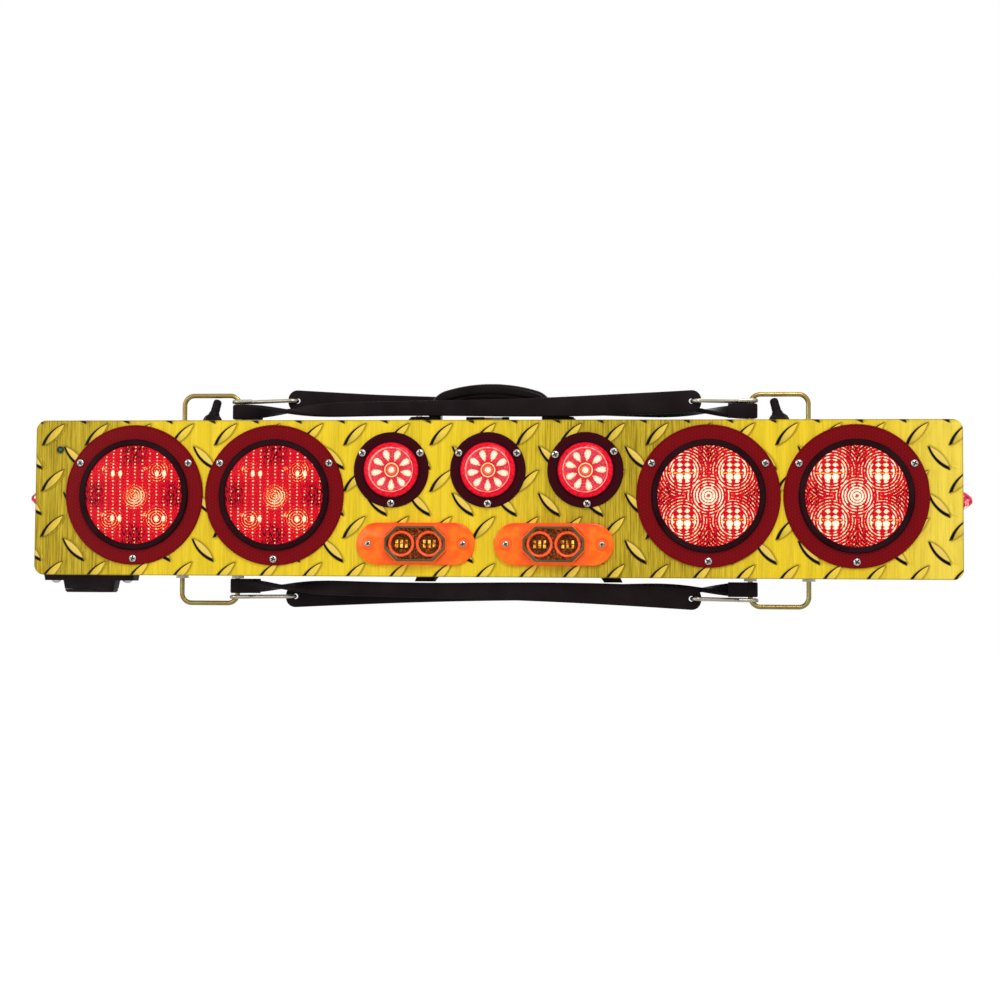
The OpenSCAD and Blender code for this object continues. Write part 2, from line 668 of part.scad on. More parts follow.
// Strobe module: a dark bezel with two reflector cups and three LEDs across each
module strobe_module(i) color([0.12, 0.11, 0.06]) on_face(strobe_xs[i], strobe_z) {
    difference() {
        linear_extrude(strobe_dome_h - 4.6) bezel_outline(0);
        for (s = [-1, 1]) translate([s * cup_pitch / 2, 0, 1.2]) {
            cylinder(d1 = cup_d * 0.74, d2 = cup_d * 0.96, h = strobe_dome_h, $fn = 64);
        }
    }
    for (s = [-1, 1], k = [-1:1]) translate([s * cup_pitch / 2 + k * cup_d * 0.2, 0, 2])
        cube([cup_d * 0.13, cup_d * 0.34, 2.4], center = true);
    translate([0, 0, -skin - stub_l]) cylinder(d = strobe_lead_d, h = skin + stub_l + 0.2);
}

module strobe_screws() color("silver") for (x = strobe_xs, s = [-1, 1])
    on_face(x + s * strobe_screw_span / 2, strobe_z, strobe_base_t + 0.8)
        pan_screw(screw_head_d * 0.78, screw_d, screw_l + 2);

// Bent rod with its two legs through the housing wall; v is 1 on top and -1 below
module tie_loop(x, v) color([0.78, 0.76, 0.5]) translate([x, mid_y, 0])
    rotate([v > 0 ? 0 : 180, 0, 0]) translate([0, 0, top_z]) {
        for (s = [-1, 1]) translate([s * loop_w / 2, 0, -leg_in])
            cylinder(d = rod_d, h = leg_in + loop_reach - loop_bend);
        translate([0, 0, loop_reach]) rotate([0, 90, 0])
            cylinder(d = rod_d, h = loop_w - 2 * loop_bend, center = true);
        for (s = [0, 180]) rotate([0, 0, s]) translate([loop_w / 2 - loop_bend, 0, loop_reach - loop_bend])
            rotate([90, 0, 0]) rotate_extrude(angle = 90)
                translate([loop_bend, 0]) circle(d = rod_d, $fn = 32);
    }

// A flange nut standing on z = 0
module flange_nut() difference() {
    union() {
        cylinder(d = nut_flange_d, h = 1.2);
        cylinder(d = nut_af / cos(30), h = nut_h, $fn = 6);
    }
    translate([0, 0, -1]) cylinder(d = rod_d + 2 * bite, h = nut_h + 2);
}

// Outer and inner nuts on every leg
module loop_nuts() color("silver") for (x = loop_xs, s = [-1, 1], v = [0, 180])
    translate([x + s * loop_w / 2, mid_y, 0]) rotate([v, 0, 0]) {
        translate([0, 0, top_z]) flange_nut();
        translate([0, 0, top_z - pan_wall]) rotate([180, 0, 0]) flange_nut();
    }

// Eases from 0 to 1 with flat ends
function ease(t) = t <= 0 ? 0 : t >= 1 ? 1 : t * t * (3 - 2 * t);

// The smaller of two lengths, with the corner between them rounded off
function soft_min(a, b) = (a + b - sqrt((a - b) * (a - b) + 2)) / 2;

// Height of a strap's middle at share u of its run: it climbs to its hole late, then stays level
function strap_height(u, hs) = u < 0.5 ? hs[0] + (hs[1] - hs[0]) * ease(u * 2)
    : hs[1] + (hs[2] - hs[1]) * pow(min((u * 2 - 1) / (hole_share * 2 - 1), 1), climb_power);

// Distance of a strap from the loops' plane at x: past the handle, then straight to the far leg
function strap_bow(x) = soft_min(eye_r + 0.7 + (bow - eye_r) * ease(x / 150),
    (2 * strap_leg_x - x) * paddle_in / hook_span);

// A strap turns over once: fast after its loop, standing edge-on, then slower
function strap_twist(x) = let (t = min(max(x / twist_run, 0), 1)) 90 * t * (3 - t * t);

// Width along the run, with a round end past the hole
function strap_width(x) = let (e = strap_run - x, r = paddle_w * 0.42,
    w = strap_w + (paddle_w - strap_w) * ease((x / strap_run - 0.3) * 1.5))
    e >= r ? w : w - 2 * r + 2 * sqrt(r * r - (r - e) * (r - e));

// The strap's cross-section, w high, with bevelled long edges
function bar_section(w) = let (h = w / 2, t = strap_t / 2, c = 0.9)
    [[-t, -h + c], [-t + c, -h], [t - c, -h], [t, -h + c], [t, h - c], [t - c, h], [-t + c, h], [-t, h - c]];

// One ring at plan place p with plan heading a
function strap_ring(p, a, z, w, twist) = [for (q = bar_section(w))
    let (across = q[0] * cos(twist) - q[1] * sin(twist), up = q[0] * sin(twist) + q[1] * cos(twist))
    [p[0] - across * sin(a), p[1] + across * cos(a), z + up]];

// Rings of the fold: a tail behind the strap and a half turn round the leg
function fold_rings(hs) = concat(
    [for (k = [0:2]) strap_ring([fold_tail * (1 - k / 3), eye_r], 180, hs[0], strap_w, 0)],
    [for (a = [90:22.5:247.5]) strap_ring([eye_r * cos(a), eye_r * sin(a)], a + 90, hs[0], strap_w, 0)]);

// Rings of the run, closer together at the round end
run_xs = concat([for (k = [0:38]) k * (strap_run - 12) / 38],
    [for (e = [9, 6, 3.6, 1.8, 0.6, 0]) strap_run - e]);
function run_rings(hs) = [for (x = run_xs)
    strap_ring([x, -strap_bow(x)], atan(strap_bow(x - 0.5) - strap_bow(x + 0.5)),
        strap_height(x / strap_run, hs), strap_width(x), strap_twist(x))];

// A closed skin over rings of points
module swept(rings) {
    n = len(rings[0]);
    m = len(rings);
    polyhedron(
        points = [for (r = rings) each r],
        faces = concat([[for (j = [n - 1:-1:0]) j]], [[for (j = [0:n - 1]) (m - 1) * n + j]],
            [for (i = [0:m - 2], j = [0:n - 1]) let (k = (j + 1) % n) each
                [[i * n + j, i * n + k, (i + 1) * n + k], [i * n + j, (i + 1) * n + k, (i + 1) * n + j]]]));
}

// A strap in its own frame: its leg on the z axis, running along +x, bowing to -y
module strap(hs) difference() {
    swept(concat(fold_rings(hs), run_rings(hs)));
    translate([2 * strap_leg_x - hook_span, -paddle_in, hs[2]]) rotate([90, 0, atan(paddle_in / hook_span)])
        cylinder(d = paddle_hole_d, h = 4 * strap_t, center = true);
}

// from is -1 for a strap looped on the left leg; way is 1 in front of the handle and -1 behind it
module placed_strap(from, way, hs) color([0.06, 0.06, 0.06])
    translate([from * strap_leg_x, mid_y, 0]) mirror([from > 0 ? 1 : 0, 0, 0])
        mirror([0, way < 0 ? 1 : 0, 0]) strap(hs);

// Part of a bent wire: a turn of radius r from angle a0 through sweep, about z. Turns are a hair
// thicker than the straight wire, which ends a little inside them.
module wire_turn(r, a0, sweep) rotate([0, 0, a0]) rotate_extrude(angle = sweep)
    translate([r, 0]) circle(d = hook_d + 2 * bite, $fn = 32);

// Straight wire from a point in the direction of angle a, ending inside the turns
module wire_run(at, a, length) translate(at) rotate([0, 90, a]) translate([0, 0, -bite])
    cylinder(d = hook_d, h = length + 2 * bite);

// An S-hook: a bend round the leg at the origin and one round (d, 0), joined by their inner tangent
module s_hook(d) {
    lean = asin((hook_r + hook_eye_r) / d);
    wire_turn(hook_r, 90 - lean, 180 + lean);
    wire_run([0, -hook_r, 0], 0, hook_tail);
    wire_run([hook_r * sin(lean), hook_r * cos(lean), 0], -lean, d * cos(lean));
    translate([d, 0, 0]) {
        wire_turn(hook_eye_r, -90 - lean, 180 + lean);
        wire_run([0, hook_eye_r, 0], 180, 3);
    }
}

// The hook of one strap, on the leg that the strap's hole end points at
module placed_hook(from, way, v, hs) {
    step = [hook_span, -way * paddle_in, hs[2] - v * hook_z];
    mirror([from < 0 ? 1 : 0, 0, 0]) translate([-strap_leg_x - hook_shift, mid_y, v * hook_z])
        rotate([0, -asin(step[2] / norm(step)), atan2(step[1], step[0])]) s_hook(norm(step) - hook_eye_r);
}

module strap_hooks() color([0.7, 0.7, 0.68]) {
    placed_hook(-1, 1, 1, top_front);
    placed_hook(1, -1, 1, top_back);
    placed_hook(-1, 1, -1, bottom_front);
    placed_hook(1, -1, -1, bottom_back);
}

// Cross-section of the grip: a bar with round long edges, grow larger all round
module grip_section(grow = 0) rounded(grip_t + 2 * grow, grip_w + 2 * grow, grip_t * 0.42);

// Moulded handle: arc, two shoulders, two legs and two flat feet. The shoulders are a hair fuller,
// and the arc and the legs end a little inside them.
module carry_handle() color([0.05, 0.05, 0.05]) translate([0, mid_y, 0]) {
    rotate([90, 0, 0]) {
        translate([0, grip_z - grip_r]) rotate([0, 0, 90 - arc_half - bite])
            rotate_extrude(angle = 2 * (arc_half + bite), $fn = 128) translate([grip_r, 0]) grip_section();
        for (s = [0, 1]) mirror([s, 0, 0])
            translate([(grip_r - shoulder_r) * sin(arc_half), shoulder_z])
                rotate_extrude(angle = 90 - arc_half) translate([shoulder_r, 0]) grip_section(bite);
    }
    for (s = [-1, 1]) translate([s * leg_x, 0, top_z])
        linear_extrude(shoulder_z - top_z + bite) grip_section();
    difference() {
        for (s = [0, 1]) mirror([s, 0, 0]) translate([handle_span / 2 - grip_t / 2, 0, top_z]) {
            linear_extrude(foot_t - 1.5) foot_outline(0);
            linear_extrude(foot_t) foot_outline(-1.5);
        }
        for (s = [-1, 1]) translate([s * foot_screw_x, 0, top_z - 1])
            cylinder(d = dome_screw_d + 0.4, h = foot_t + 2);
    }
}

// Outline of a foot: square at the leg and round at its toe
module foot_outline(grow) {
    l = foot_l + grip_t / 2 + grow;
    w = grip_w + 2 * grow;
    translate([0, -w / 2]) square([l - w / 2, w]);
    translate([l - w / 2, 0]) circle(d = w);
}

// Screws of the handle's feet and of the socket's flange
module dome_screws() color("silver") {
    for (s = [-1, 1]) translate([s * foot_screw_x, mid_y, top_z + foot_t])
        dome_screw(foot_head_d, dome_screw_d, dome_screw_l);
    for (s = [-1, 1]) translate([socket_x + s * socket_screw_span / 2, socket_y, -top_z - socket_flange_t])
        rotate([180, 0, 0]) dome_screw(socket_head_d, dome_screw_d, dome_screw_l);
}

// Fuse holder lying along the top: a barrel with a metal band and a ribbed cap
module fuse_holder() color([0.1, 0.1, 0.1]) translate([fuse_x - fuse_l / 2, mid_y, top_z + fuse_d / 2])
    rotate([0, 90, 0]) {
        cylinder(d = fuse_d, h = fuse_l * 0.42);
        translate([0, 0, fuse_l * 0.42]) cylinder(d = fuse_d - 1, h = fuse_l * 0.42);
        translate([0, 0, fuse_l * 0.84]) cylinder(d = fuse_d, h = fuse_l * 0.16, $fn = 12);
        translate([fuse_d * 0.25, 0, fuse_l / 2])
            cube([fuse_d / 2, fuse_d * 0.7, fuse_l * 0.9], center = true);
    }

// Switch body under the wall, with a threaded bush through it and three tags below
module switch_unit(x) color([0.2, 0.2, 0.25]) translate([x, mid_y, top_z]) difference() {
    union() {
        translate([0, 0, -pan_wall - switch_body[2] / 2]) cube(switch_body, center = true);
        translate([0, 0, -pan_wall]) cylinder(d = bush_d, h = pan_wall + bush_h);
        for (k = [-1:1]) translate([-1.5, k * 5 - 0.4, -pan_wall - switch_body[2] - switch_tag_l])
            cube([3, 0.8, switch_tag_l + bite]);
    }
    translate([0, 0, bush_h - 6]) cylinder(d = ball_d + 2 * slip, h = 10);
}

// Bat lever with its pivot ball, leaning by lean about y
module switch_lever(x, lean) color("silver") translate([x, mid_y, lever_pivot_z]) rotate([0, lean, 0]) {
    sphere(d = ball_d);
    cylinder(d = lever_d - 1, h = lever_l - 4);
    translate([0, 0, lever_l * 0.4])
        cylinder(d1 = lever_d - 1, d2 = lever_d, h = lever_l * 0.6 - lever_d / 2);
    translate([0, 0, lever_l - lever_d / 2]) sphere(d = lever_d);
}

// Rubber boot over the switch: a hex base on the bush and a sleeve that follows the lever
module switch_boot(x, lean) color([0.08, 0.08, 0.08]) translate([x, mid_y, top_z]) difference() {
    union() {
        cylinder(d = boot_af / cos(30), h = boot_base_h - 3, $fn = 6);
        translate([0, 0, boot_base_h - 3]) cylinder(d1 = boot_af, d2 = boot_af * 0.8, h = 3);
        translate([0, 0, pivot_h]) rotate([0, lean, 0]) rotate_extrude() polygon([[0, 3.4],
            [boot_af * 0.4, 4.4], [boot_af * 0.34, 6.2], [sleeve_d / 2 + 0.9, 8.6], [sleeve_d / 2, 10.5],
            [sleeve_d / 2, lever_l - 1.5], [sleeve_d / 2 - 1.2, lever_l + boot_wall - 0.8],
            [sleeve_d / 2 - 2.6, lever_l + boot_wall], [0, lever_l + boot_wall]]);
    }
    translate([0, 0, -1]) cylinder(d = bush_d + 2 * slip, h = bush_h + 1.2);
    translate([0, 0, pivot_h]) {
        sphere(d = ball_d + 1);
        rotate([0, lean, 0]) cylinder(d = lever_d + 2 * slip, h = lever_l - lever_d / 2);
        rotate([0, lean, 0]) translate([0, 0, lever_l - lever_d / 2]) sphere(d = lever_d + 2 * slip);
    }
}

// Charging socket: a drafted flange, a tapering body with a well, and two hinge ears behind
module charge_socket() color([0.09, 0.08, 0.09]) translate([socket_x, socket_y, 0]) difference() {
    union() {
        translate([0, 0, -top_z]) mirror([0, 0, 1]) {
            linear_extrude(socket_flange_t, scale = [0.97, 0.92], slices = 1)
                rounded(socket_flange_l, socket_flange_w, 4, $fn = 32);
            translate([0, 0, socket_flange_t - bite]) linear_extrude(socket_h + bite, scale = socket_draft,
                slices = 1) rounded(socket_l, socket_w, 5, $fn = 32);
        }
        translate([0, 0, -top_z]) linear_extrude(socket_inner_h) square(socket_box, center = true);
        for (s = [-1, 1]) translate([s * socket_l * 0.36, 0, 0]) {
            translate([-1.8, socket_w * 0.4, lid_z - lid_t / 2 - hinge_r])
                cube([3.6, hinge_y - socket_y - socket_w * 0.4, lid_t / 2 + hinge_r + 6]);
            translate([0, hinge_y - socket_y, hinge_z]) rotate([0, 90, 0])
                cylinder(r = hinge_r, h = 3.6, center = true);
        }
    }
    translate([0, 0, lid_z - 1])
        linear_extrude(socket_h + socket_flange_t + socket_inner_h - socket_roof + 1)
            square(socket_well, center = true);
    translate([0, hinge_y - socket_y, hinge_z]) rotate([0, 90, 0])
        cylinder(d = hinge_pin_d + 2 * bite, h = socket_l, center = true);
    for (s = [-1, 1]) translate([s * socket_screw_span / 2, 0, -top_z - socket_flange_t - 1])
        cylinder(d = dome_screw_d + 0.4, h = socket_flange_t + 2);
}

// Flap lid: a plate with a lifting lip in front and a barrel with two stub pins behind
module socket_lid() color([0.1, 0.09, 0.1]) translate([socket_x, 0, 0]) {
    ears = socket_l * 0.36;
    difference() {
        union() {
            translate([0, socket_y, lid_z - 0.2]) mirror([0, 0, 1]) {
                linear_extrude(lid_t - 1.2) rounded(socket_l * 0.93, socket_w * 0.9, 4.6);
                linear_extrude(lid_t - 0.2) rounded(socket_l * 0.93 - 2.4, socket_w * 0.9 - 2.4, 3.6);
                translate([-6, -socket_w * 0.45 - 1.8, 0]) cube([12, 4, 2]);
            }
            translate([-ears + 2.1, socket_y + socket_w * 0.3, hinge_z - hinge_r])
                cube([2 * ears - 4.2, hinge_y - socket_y - socket_w * 0.3, 2 * hinge_r - 0.2]);
            translate([0, hinge_y, hinge_z]) rotate([0, 90, 0])
                cylinder(r = hinge_r - 0.1, h = 2 * ears - 4.2, center = true);
            translate([0, hinge_y, hinge_z]) rotate([0, 90, 0])
                cylinder(d = hinge_pin_d, h = 2 * ears + 3.4, center = true);
        }
        for (s = [-1, 1]) translate([s * ears, socket_y + socket_w * 0.45, lid_z - 5])
            cube([4.2, socket_w * 0.16, 12], center = true);
    }
    for (s = [-1, 1]) translate([s * ears, hinge_y, hinge_z]) rotate([0, 90, 0])
        cylinder(d = hinge_pin_d, h = 3.4, center = true);
}

// Contact pins hanging from the roof of the well
module socket_pins() color("gold") for (k = [0:pin_count - 1])
    translate([socket_x + (k - (pin_count - 1) / 2) * socket_well[0] / (pin_count + 0.6), socket_y,
        -top_z + socket_inner_h - socket_roof - pin_l]) {
        cylinder(d = pin_d, h = pin_l);
        translate([0, 0, -pin_d * 0.2]) cylinder(d1 = pin_d * 0.5, d2 = pin_d, h = pin_d * 0.2);
    }

// Two slanted rubber bumpers under the housing that lean away from each other
module bottom_bumpers() color([0.07, 0.07, 0.07]) for (k = [0, 1])
    translate([bumper_xs[k], mid_y, -top_z]) mirror([k, 0, 0]) rotate([90, 0, 0])
        linear_extrude(grip_w, center = true) polygon([[-bumper_l / 2, 0], [bumper_l / 2, 0],
            [bumper_l / 2 - bumper_toe, -bumper_h], [-bumper_l / 2 - bumper_toe * 0.6, -bumper_h]]);

// Small faceted red lamps on the end walls
module side_lamps() color([0.85, 0.05, 0.05]) for (s = [-1, 1])
    translate([s * pan_w / 2, mid_y, 0]) rotate([0, s * 90, 0]) {
        translate([0, 0, -pan_wall - side_stub_l])
            cylinder(d = side_lamp_d * 0.5, h = pan_wall + side_stub_l);
        cylinder(d = side_lamp_d, h = side_lamp_out * 0.22);
        cylinder(d1 = side_lamp_d * 0.97, d2 = side_lamp_d * 0.8, h = side_lamp_out * 0.6, $fn = 12);
        translate([0, 0, side_lamp_out * 0.6])
            cylinder(d1 = side_lamp_d * 0.8, d2 = side_lamp_d * 0.3, h = side_lamp_out * 0.4, $fn = 12);
    }

// Green pilot light in a dark bezel
module pilot_light() color([0.05, 0.35, 0.1]) on_face(pilot_at[0], pilot_at[1]) {
    ring(pilot_d, pilot_d * 0.6, 1.5);
    sphere(d = pilot_d * 0.6);
    translate([0, 0, -skin - stub_l]) cylinder(d = pilot_d - 1.8, h = skin + stub_l);
}

// Battery pack: a shrink-wrapped block with round long edges
module battery_pack() color([0.15, 0.3, 0.55]) translate(battery_at) rotate([0, 90, 0])
    linear_extrude(battery[0], center = true) rounded(battery[2], battery[1], 7);

// Control board on four pillars, with a few parts on its front
module control_board() color([0.1, 0.4, 0.2]) translate(board_at) {
    cube(board, center = true);
    for (x = [-1, 1], z = [-1, 1]) translate([x * (board[0] / 2 - 5), board[1] / 2, z * (board[2] / 2 - 5)])
        rotate([-90, 0, 0]) cylinder(d = 6, h = board_gap);
    for (x = [-60, -20, 25, 62]) translate([x, -board[1] / 2 - 2.4, 10]) cube([16, 5, 14], center = true);
}

// A lead that runs through the given points, with corners a hair fuller than its runs
module lead(points, d) for (i = [0:len(points) - 1]) {
    translate(points[i]) sphere(d = d + 2 * bite);
    if (i > 0) {
        step = points[i] - points[i - 1];
        translate(points[i - 1]) rotate([0, acos(step[2] / norm(step)), atan2(step[1], step[0])])
            cylinder(d = d, h = norm(step));
    }
}

// Wiring loom: a trunk along the bottom and a lead to everything that is wired
module wiring_loom() color([0.1, 0.1, 0.1]) {
    lamp_back = face_y + skin + stop_depth + branch_end;
    stub_back = plate_y + stub_l + lead_end;
    tags_z = top_z - pan_wall - switch_body[2] - switch_tag_l - lead_end;
    duck_z = tags_z - 2.5 * lead_d;
    lead([[-loom_end, loom_y, loom_z], [loom_end, loom_y, loom_z]], loom_d);
    for (x = stop_xs) lead([[x, loom_y, loom_z], [x, loom_y, stop_z - plug_drop],
        [x, lamp_back, stop_z - plug_drop]], branch_d);
    lead([[riser_x, loom_y, loom_z], [riser_x, loom_y, board_at[2] - board[2] / 2 - branch_end]], branch_d);
    for (x = mark_xs) translate([x, face_y + skin + mark_depth, mark_z - 6]) rotate([-90, 0, 0])
        cylinder(d = lead_d, h = board_at[1] - board[1] / 2 - face_y - skin - mark_depth);
    for (x = strobe_xs)
        lead([[x, stub_back, strobe_z], [x, stub_back, loom_z], [x, loom_y, loom_z]], lead_d);
    for (x = loop_xs) lead([[x, loom_y, loom_z], [x, loom_y, duck_z], [x, mid_y, duck_z],
        [x, mid_y, tags_z]], lead_d);
    for (s = [-1, 1]) lead([[s * loom_end, loom_y, loom_z], [s * loom_end, loom_y, 0],
        [s * loom_end, mid_y, 0], [s * (pan_w / 2 - pan_wall - side_stub_l - lead_end), mid_y, 0]], lead_d);
    lead([[-loom_end, loom_y, 0], [-loom_end, loom_y, pilot_at[1]],
        [-loom_end, stub_back + 8, pilot_at[1]], [pilot_at[0], stub_back, pilot_at[1]]], lead_d);
    lead([[socket_x, loom_y, loom_z], [socket_x, socket_y + socket_box[1] / 2 + lead_end, loom_z]], lead_d);
}

housing_pan();
front_plate();
face_film();
plate_rivets();
stop_flange(0);  // stop_lamp_1_flange
stop_flange(1);  // stop_lamp_2_flange
stop_flange(2);  // stop_lamp_3_flange
stop_flange(3);  // stop_lamp_4_flange
stop_lens(0);  // stop_lamp_1_lens
stop_lens(1);  // stop_lamp_2_lens
stop_lens(2);  // stop_lamp_3_lens
stop_lens(3);  // stop_lamp_4_lens
stop_body(0);  // stop_lamp_1_body
stop_body(1);  // stop_lamp_2_body
stop_body(2);  // stop_lamp_3_body
stop_body(3);  // stop_lamp_4_body
stop_lamp_grommets();
marker_flange(0);  // marker_lamp_1_flange
marker_flange(1);  // marker_lamp_2_flange
marker_flange(2);  // marker_lamp_3_flange
marker_lens(0);  // marker_lamp_1_lens
marker_lens(1);  // marker_lamp_2_lens
marker_lens(2);  // marker_lamp_3_lens
marker_body(0);  // marker_lamp_1_body
marker_body(1);  // marker_lamp_2_body
marker_body(2);  // marker_lamp_3_body
lamp_screws();
strobe_lens(0);  // strobe_left_lens
strobe_lens(1);  // strobe_right_lens
strobe_module(0);  // strobe_left_module
strobe_module(1);  // strobe_right_module
strobe_screws();
tie_loop(loop_xs[0], 1);  // tie_loop_top_left
tie_loop(loop_xs[1], 1);  // tie_loop_top_right
tie_loop(loop_xs[0], -1);  // tie_loop_bottom_left
tie_loop(loop_xs[1], -1);  // tie_loop_bottom_right
loop_nuts();
placed_strap(-1, 1, top_front);  // strap_top_front
placed_strap(1, -1, top_back);  // strap_top_back
placed_strap(-1, 1, bottom_front);  // strap_bottom_front
placed_strap(1, -1, bottom_back);  // strap_bottom_back
strap_hooks();
carry_handle();
dome_screws();
fuse_holder();
switch_unit(loop_xs[0]);  // left_switch
switch_unit(loop_xs[1]);  // right_switch
switch_lever(loop_xs[0], lever_lean);  // left_switch_lever
switch_lever(loop_xs[1], -lever_lean);  // right_switch_lever
switch_boot(loop_xs[0], lever_lean);  // left_switch_boot
switch_boot(loop_xs[1], -lever_lean);  // right_switch_boot
charge_socket();
socket_lid();
socket_pins();
bottom_bumpers();
side_lamps();
pilot_light();
battery_pack();
control_board();
wiring_loom();
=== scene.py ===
"""Looks of a wide load light bar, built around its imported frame."""

import json
from math import atan, ceil, copysign, cos, hypot, pi, radians, sin, sqrt

import bmesh
import bpy
from bpy.props import FloatProperty, FloatVectorProperty, IntProperty, PointerProperty
from mathutils import Matrix, Vector


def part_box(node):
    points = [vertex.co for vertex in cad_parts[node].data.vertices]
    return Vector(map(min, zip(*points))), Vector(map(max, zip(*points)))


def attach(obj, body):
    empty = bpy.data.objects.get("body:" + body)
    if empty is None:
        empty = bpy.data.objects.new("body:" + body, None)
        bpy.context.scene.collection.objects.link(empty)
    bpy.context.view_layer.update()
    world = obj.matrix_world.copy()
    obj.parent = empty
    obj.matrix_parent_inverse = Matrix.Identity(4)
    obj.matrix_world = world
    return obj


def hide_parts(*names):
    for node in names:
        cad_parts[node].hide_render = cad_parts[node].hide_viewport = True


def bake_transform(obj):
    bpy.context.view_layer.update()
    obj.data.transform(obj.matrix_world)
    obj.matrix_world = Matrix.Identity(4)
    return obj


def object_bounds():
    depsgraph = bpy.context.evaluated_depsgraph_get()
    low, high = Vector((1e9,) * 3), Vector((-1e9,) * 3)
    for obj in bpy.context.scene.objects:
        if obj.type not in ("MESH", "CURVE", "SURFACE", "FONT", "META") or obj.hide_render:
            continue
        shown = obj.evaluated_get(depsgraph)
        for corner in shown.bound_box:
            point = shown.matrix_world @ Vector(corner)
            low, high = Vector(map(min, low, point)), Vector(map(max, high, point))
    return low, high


bl_info = {
    "name": "Wide load light bar",
    "version": (1, 0, 0),
    "blender": (4, 5, 0),
    "location": "View3D > Sidebar > Light Bar",
    "description": "Dresses the frame of a wide load light bar and lights it",
    "category": "Object",
}

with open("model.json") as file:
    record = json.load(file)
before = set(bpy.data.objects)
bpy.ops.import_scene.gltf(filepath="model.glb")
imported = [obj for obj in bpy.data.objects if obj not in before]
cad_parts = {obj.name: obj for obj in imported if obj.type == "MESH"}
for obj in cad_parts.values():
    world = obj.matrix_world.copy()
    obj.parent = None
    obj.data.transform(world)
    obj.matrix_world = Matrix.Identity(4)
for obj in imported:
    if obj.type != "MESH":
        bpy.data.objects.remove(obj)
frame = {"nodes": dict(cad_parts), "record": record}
CAD_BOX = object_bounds()
MM = 0.001
TAU = 2 * pi
ORIGIN, UP, OUT, DEEP = Vector((0, 0, 0)), Vector((0, 0, 1)), Vector((0, -1, 0)), Vector((0, 1, 0))
WHITE, NONE = (1.0, 1.0, 1.0, 1.0), (0.0, 0.0, 0.0, 1.0)
SQUARE = ((-1, -1), (1, -1), (1, 1), (-1, 1))


def middle(node):
    """Centre of a CAD node's box."""
    low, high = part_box(node)
    return (low + high) / 2


def extent(node):
    """Size of a CAD node's box."""
    low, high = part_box(node)
    return high - low


FACE_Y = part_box("front_plate")[0].y - 0.4 * MM
PLATE_LOW, PLATE_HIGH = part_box("front_plate")
TOP_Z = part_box("housing_pan")[1].z
MID_Y = middle("carry_handle").y
STOPS = [middle(f"stop_lamp_{i}_flange") for i in (1, 2, 3, 4)]
MARKERS = [middle(f"marker_lamp_{i}_flange") for i in (1, 2, 3)]
STROBES = [middle(f"strobe_{side}_lens") for side in ("left", "right")]
FLANGES = [(lamp, extent("stop_lamp_1_flange").x / 2) for lamp in STOPS]
FLANGES += [(lamp, extent("marker_lamp_1_flange").x / 2) for lamp in MARKERS]
STOP_LENS_R = extent("stop_lamp_1_lens").x / 2 - 1.2 * MM
MARK_LENS_R = extent("marker_lamp_1_lens").x / 2
# Degrees that each marker lamp and its ring of LEDs are turned by.
MARK_TURNS = (0, 0, 3)
LED_TURNS = (69, 69, 82)
CORNER_R = 10 * MM
CORNER_PLANES = 24
SCREW_ANGLES = (30, 150, 270)
STOP_SCREW_IN = 6.35 * MM
MARKER_SCREW_R = 33.05 * MM
STROBE_SCREW_X = 47
OVAL_STEPS = 128
# Spacing of the rings round an optic, in millimetres.
RING_PITCH = 2.6
# How the print sits on the plate, and how much it bows for each metre squared from its middle.
PRINT_SLIP = 3.5 * MM
PRINT_MIDDLE = -40 * MM
PRINT_BOW = 0.045


def rgb(red, green, blue):
    """A colour given in display values from 0 to 255, as linear light."""
    def linear(value):
        value /= 255
        return value / 12.92 if value <= 0.04045 else ((value + 0.055) / 1.055) ** 2.4
    return (linear(red), linear(green), linear(blue), 1.0)


def tinge(colour, factor, lift=0.0):
    """A colour made darker or brighter by a factor."""
    return tuple(min(part * factor + lift, 1.0) for part in colour[:3]) + (1.0,)


def metres(*pairs):
    """Pairs of millimetres in metres."""
    return [(a * MM, b * MM) for a, b in pairs]


def around(steps):
    """Angles of equal steps once round."""
    return [TAU * k / steps for k in range(steps)]


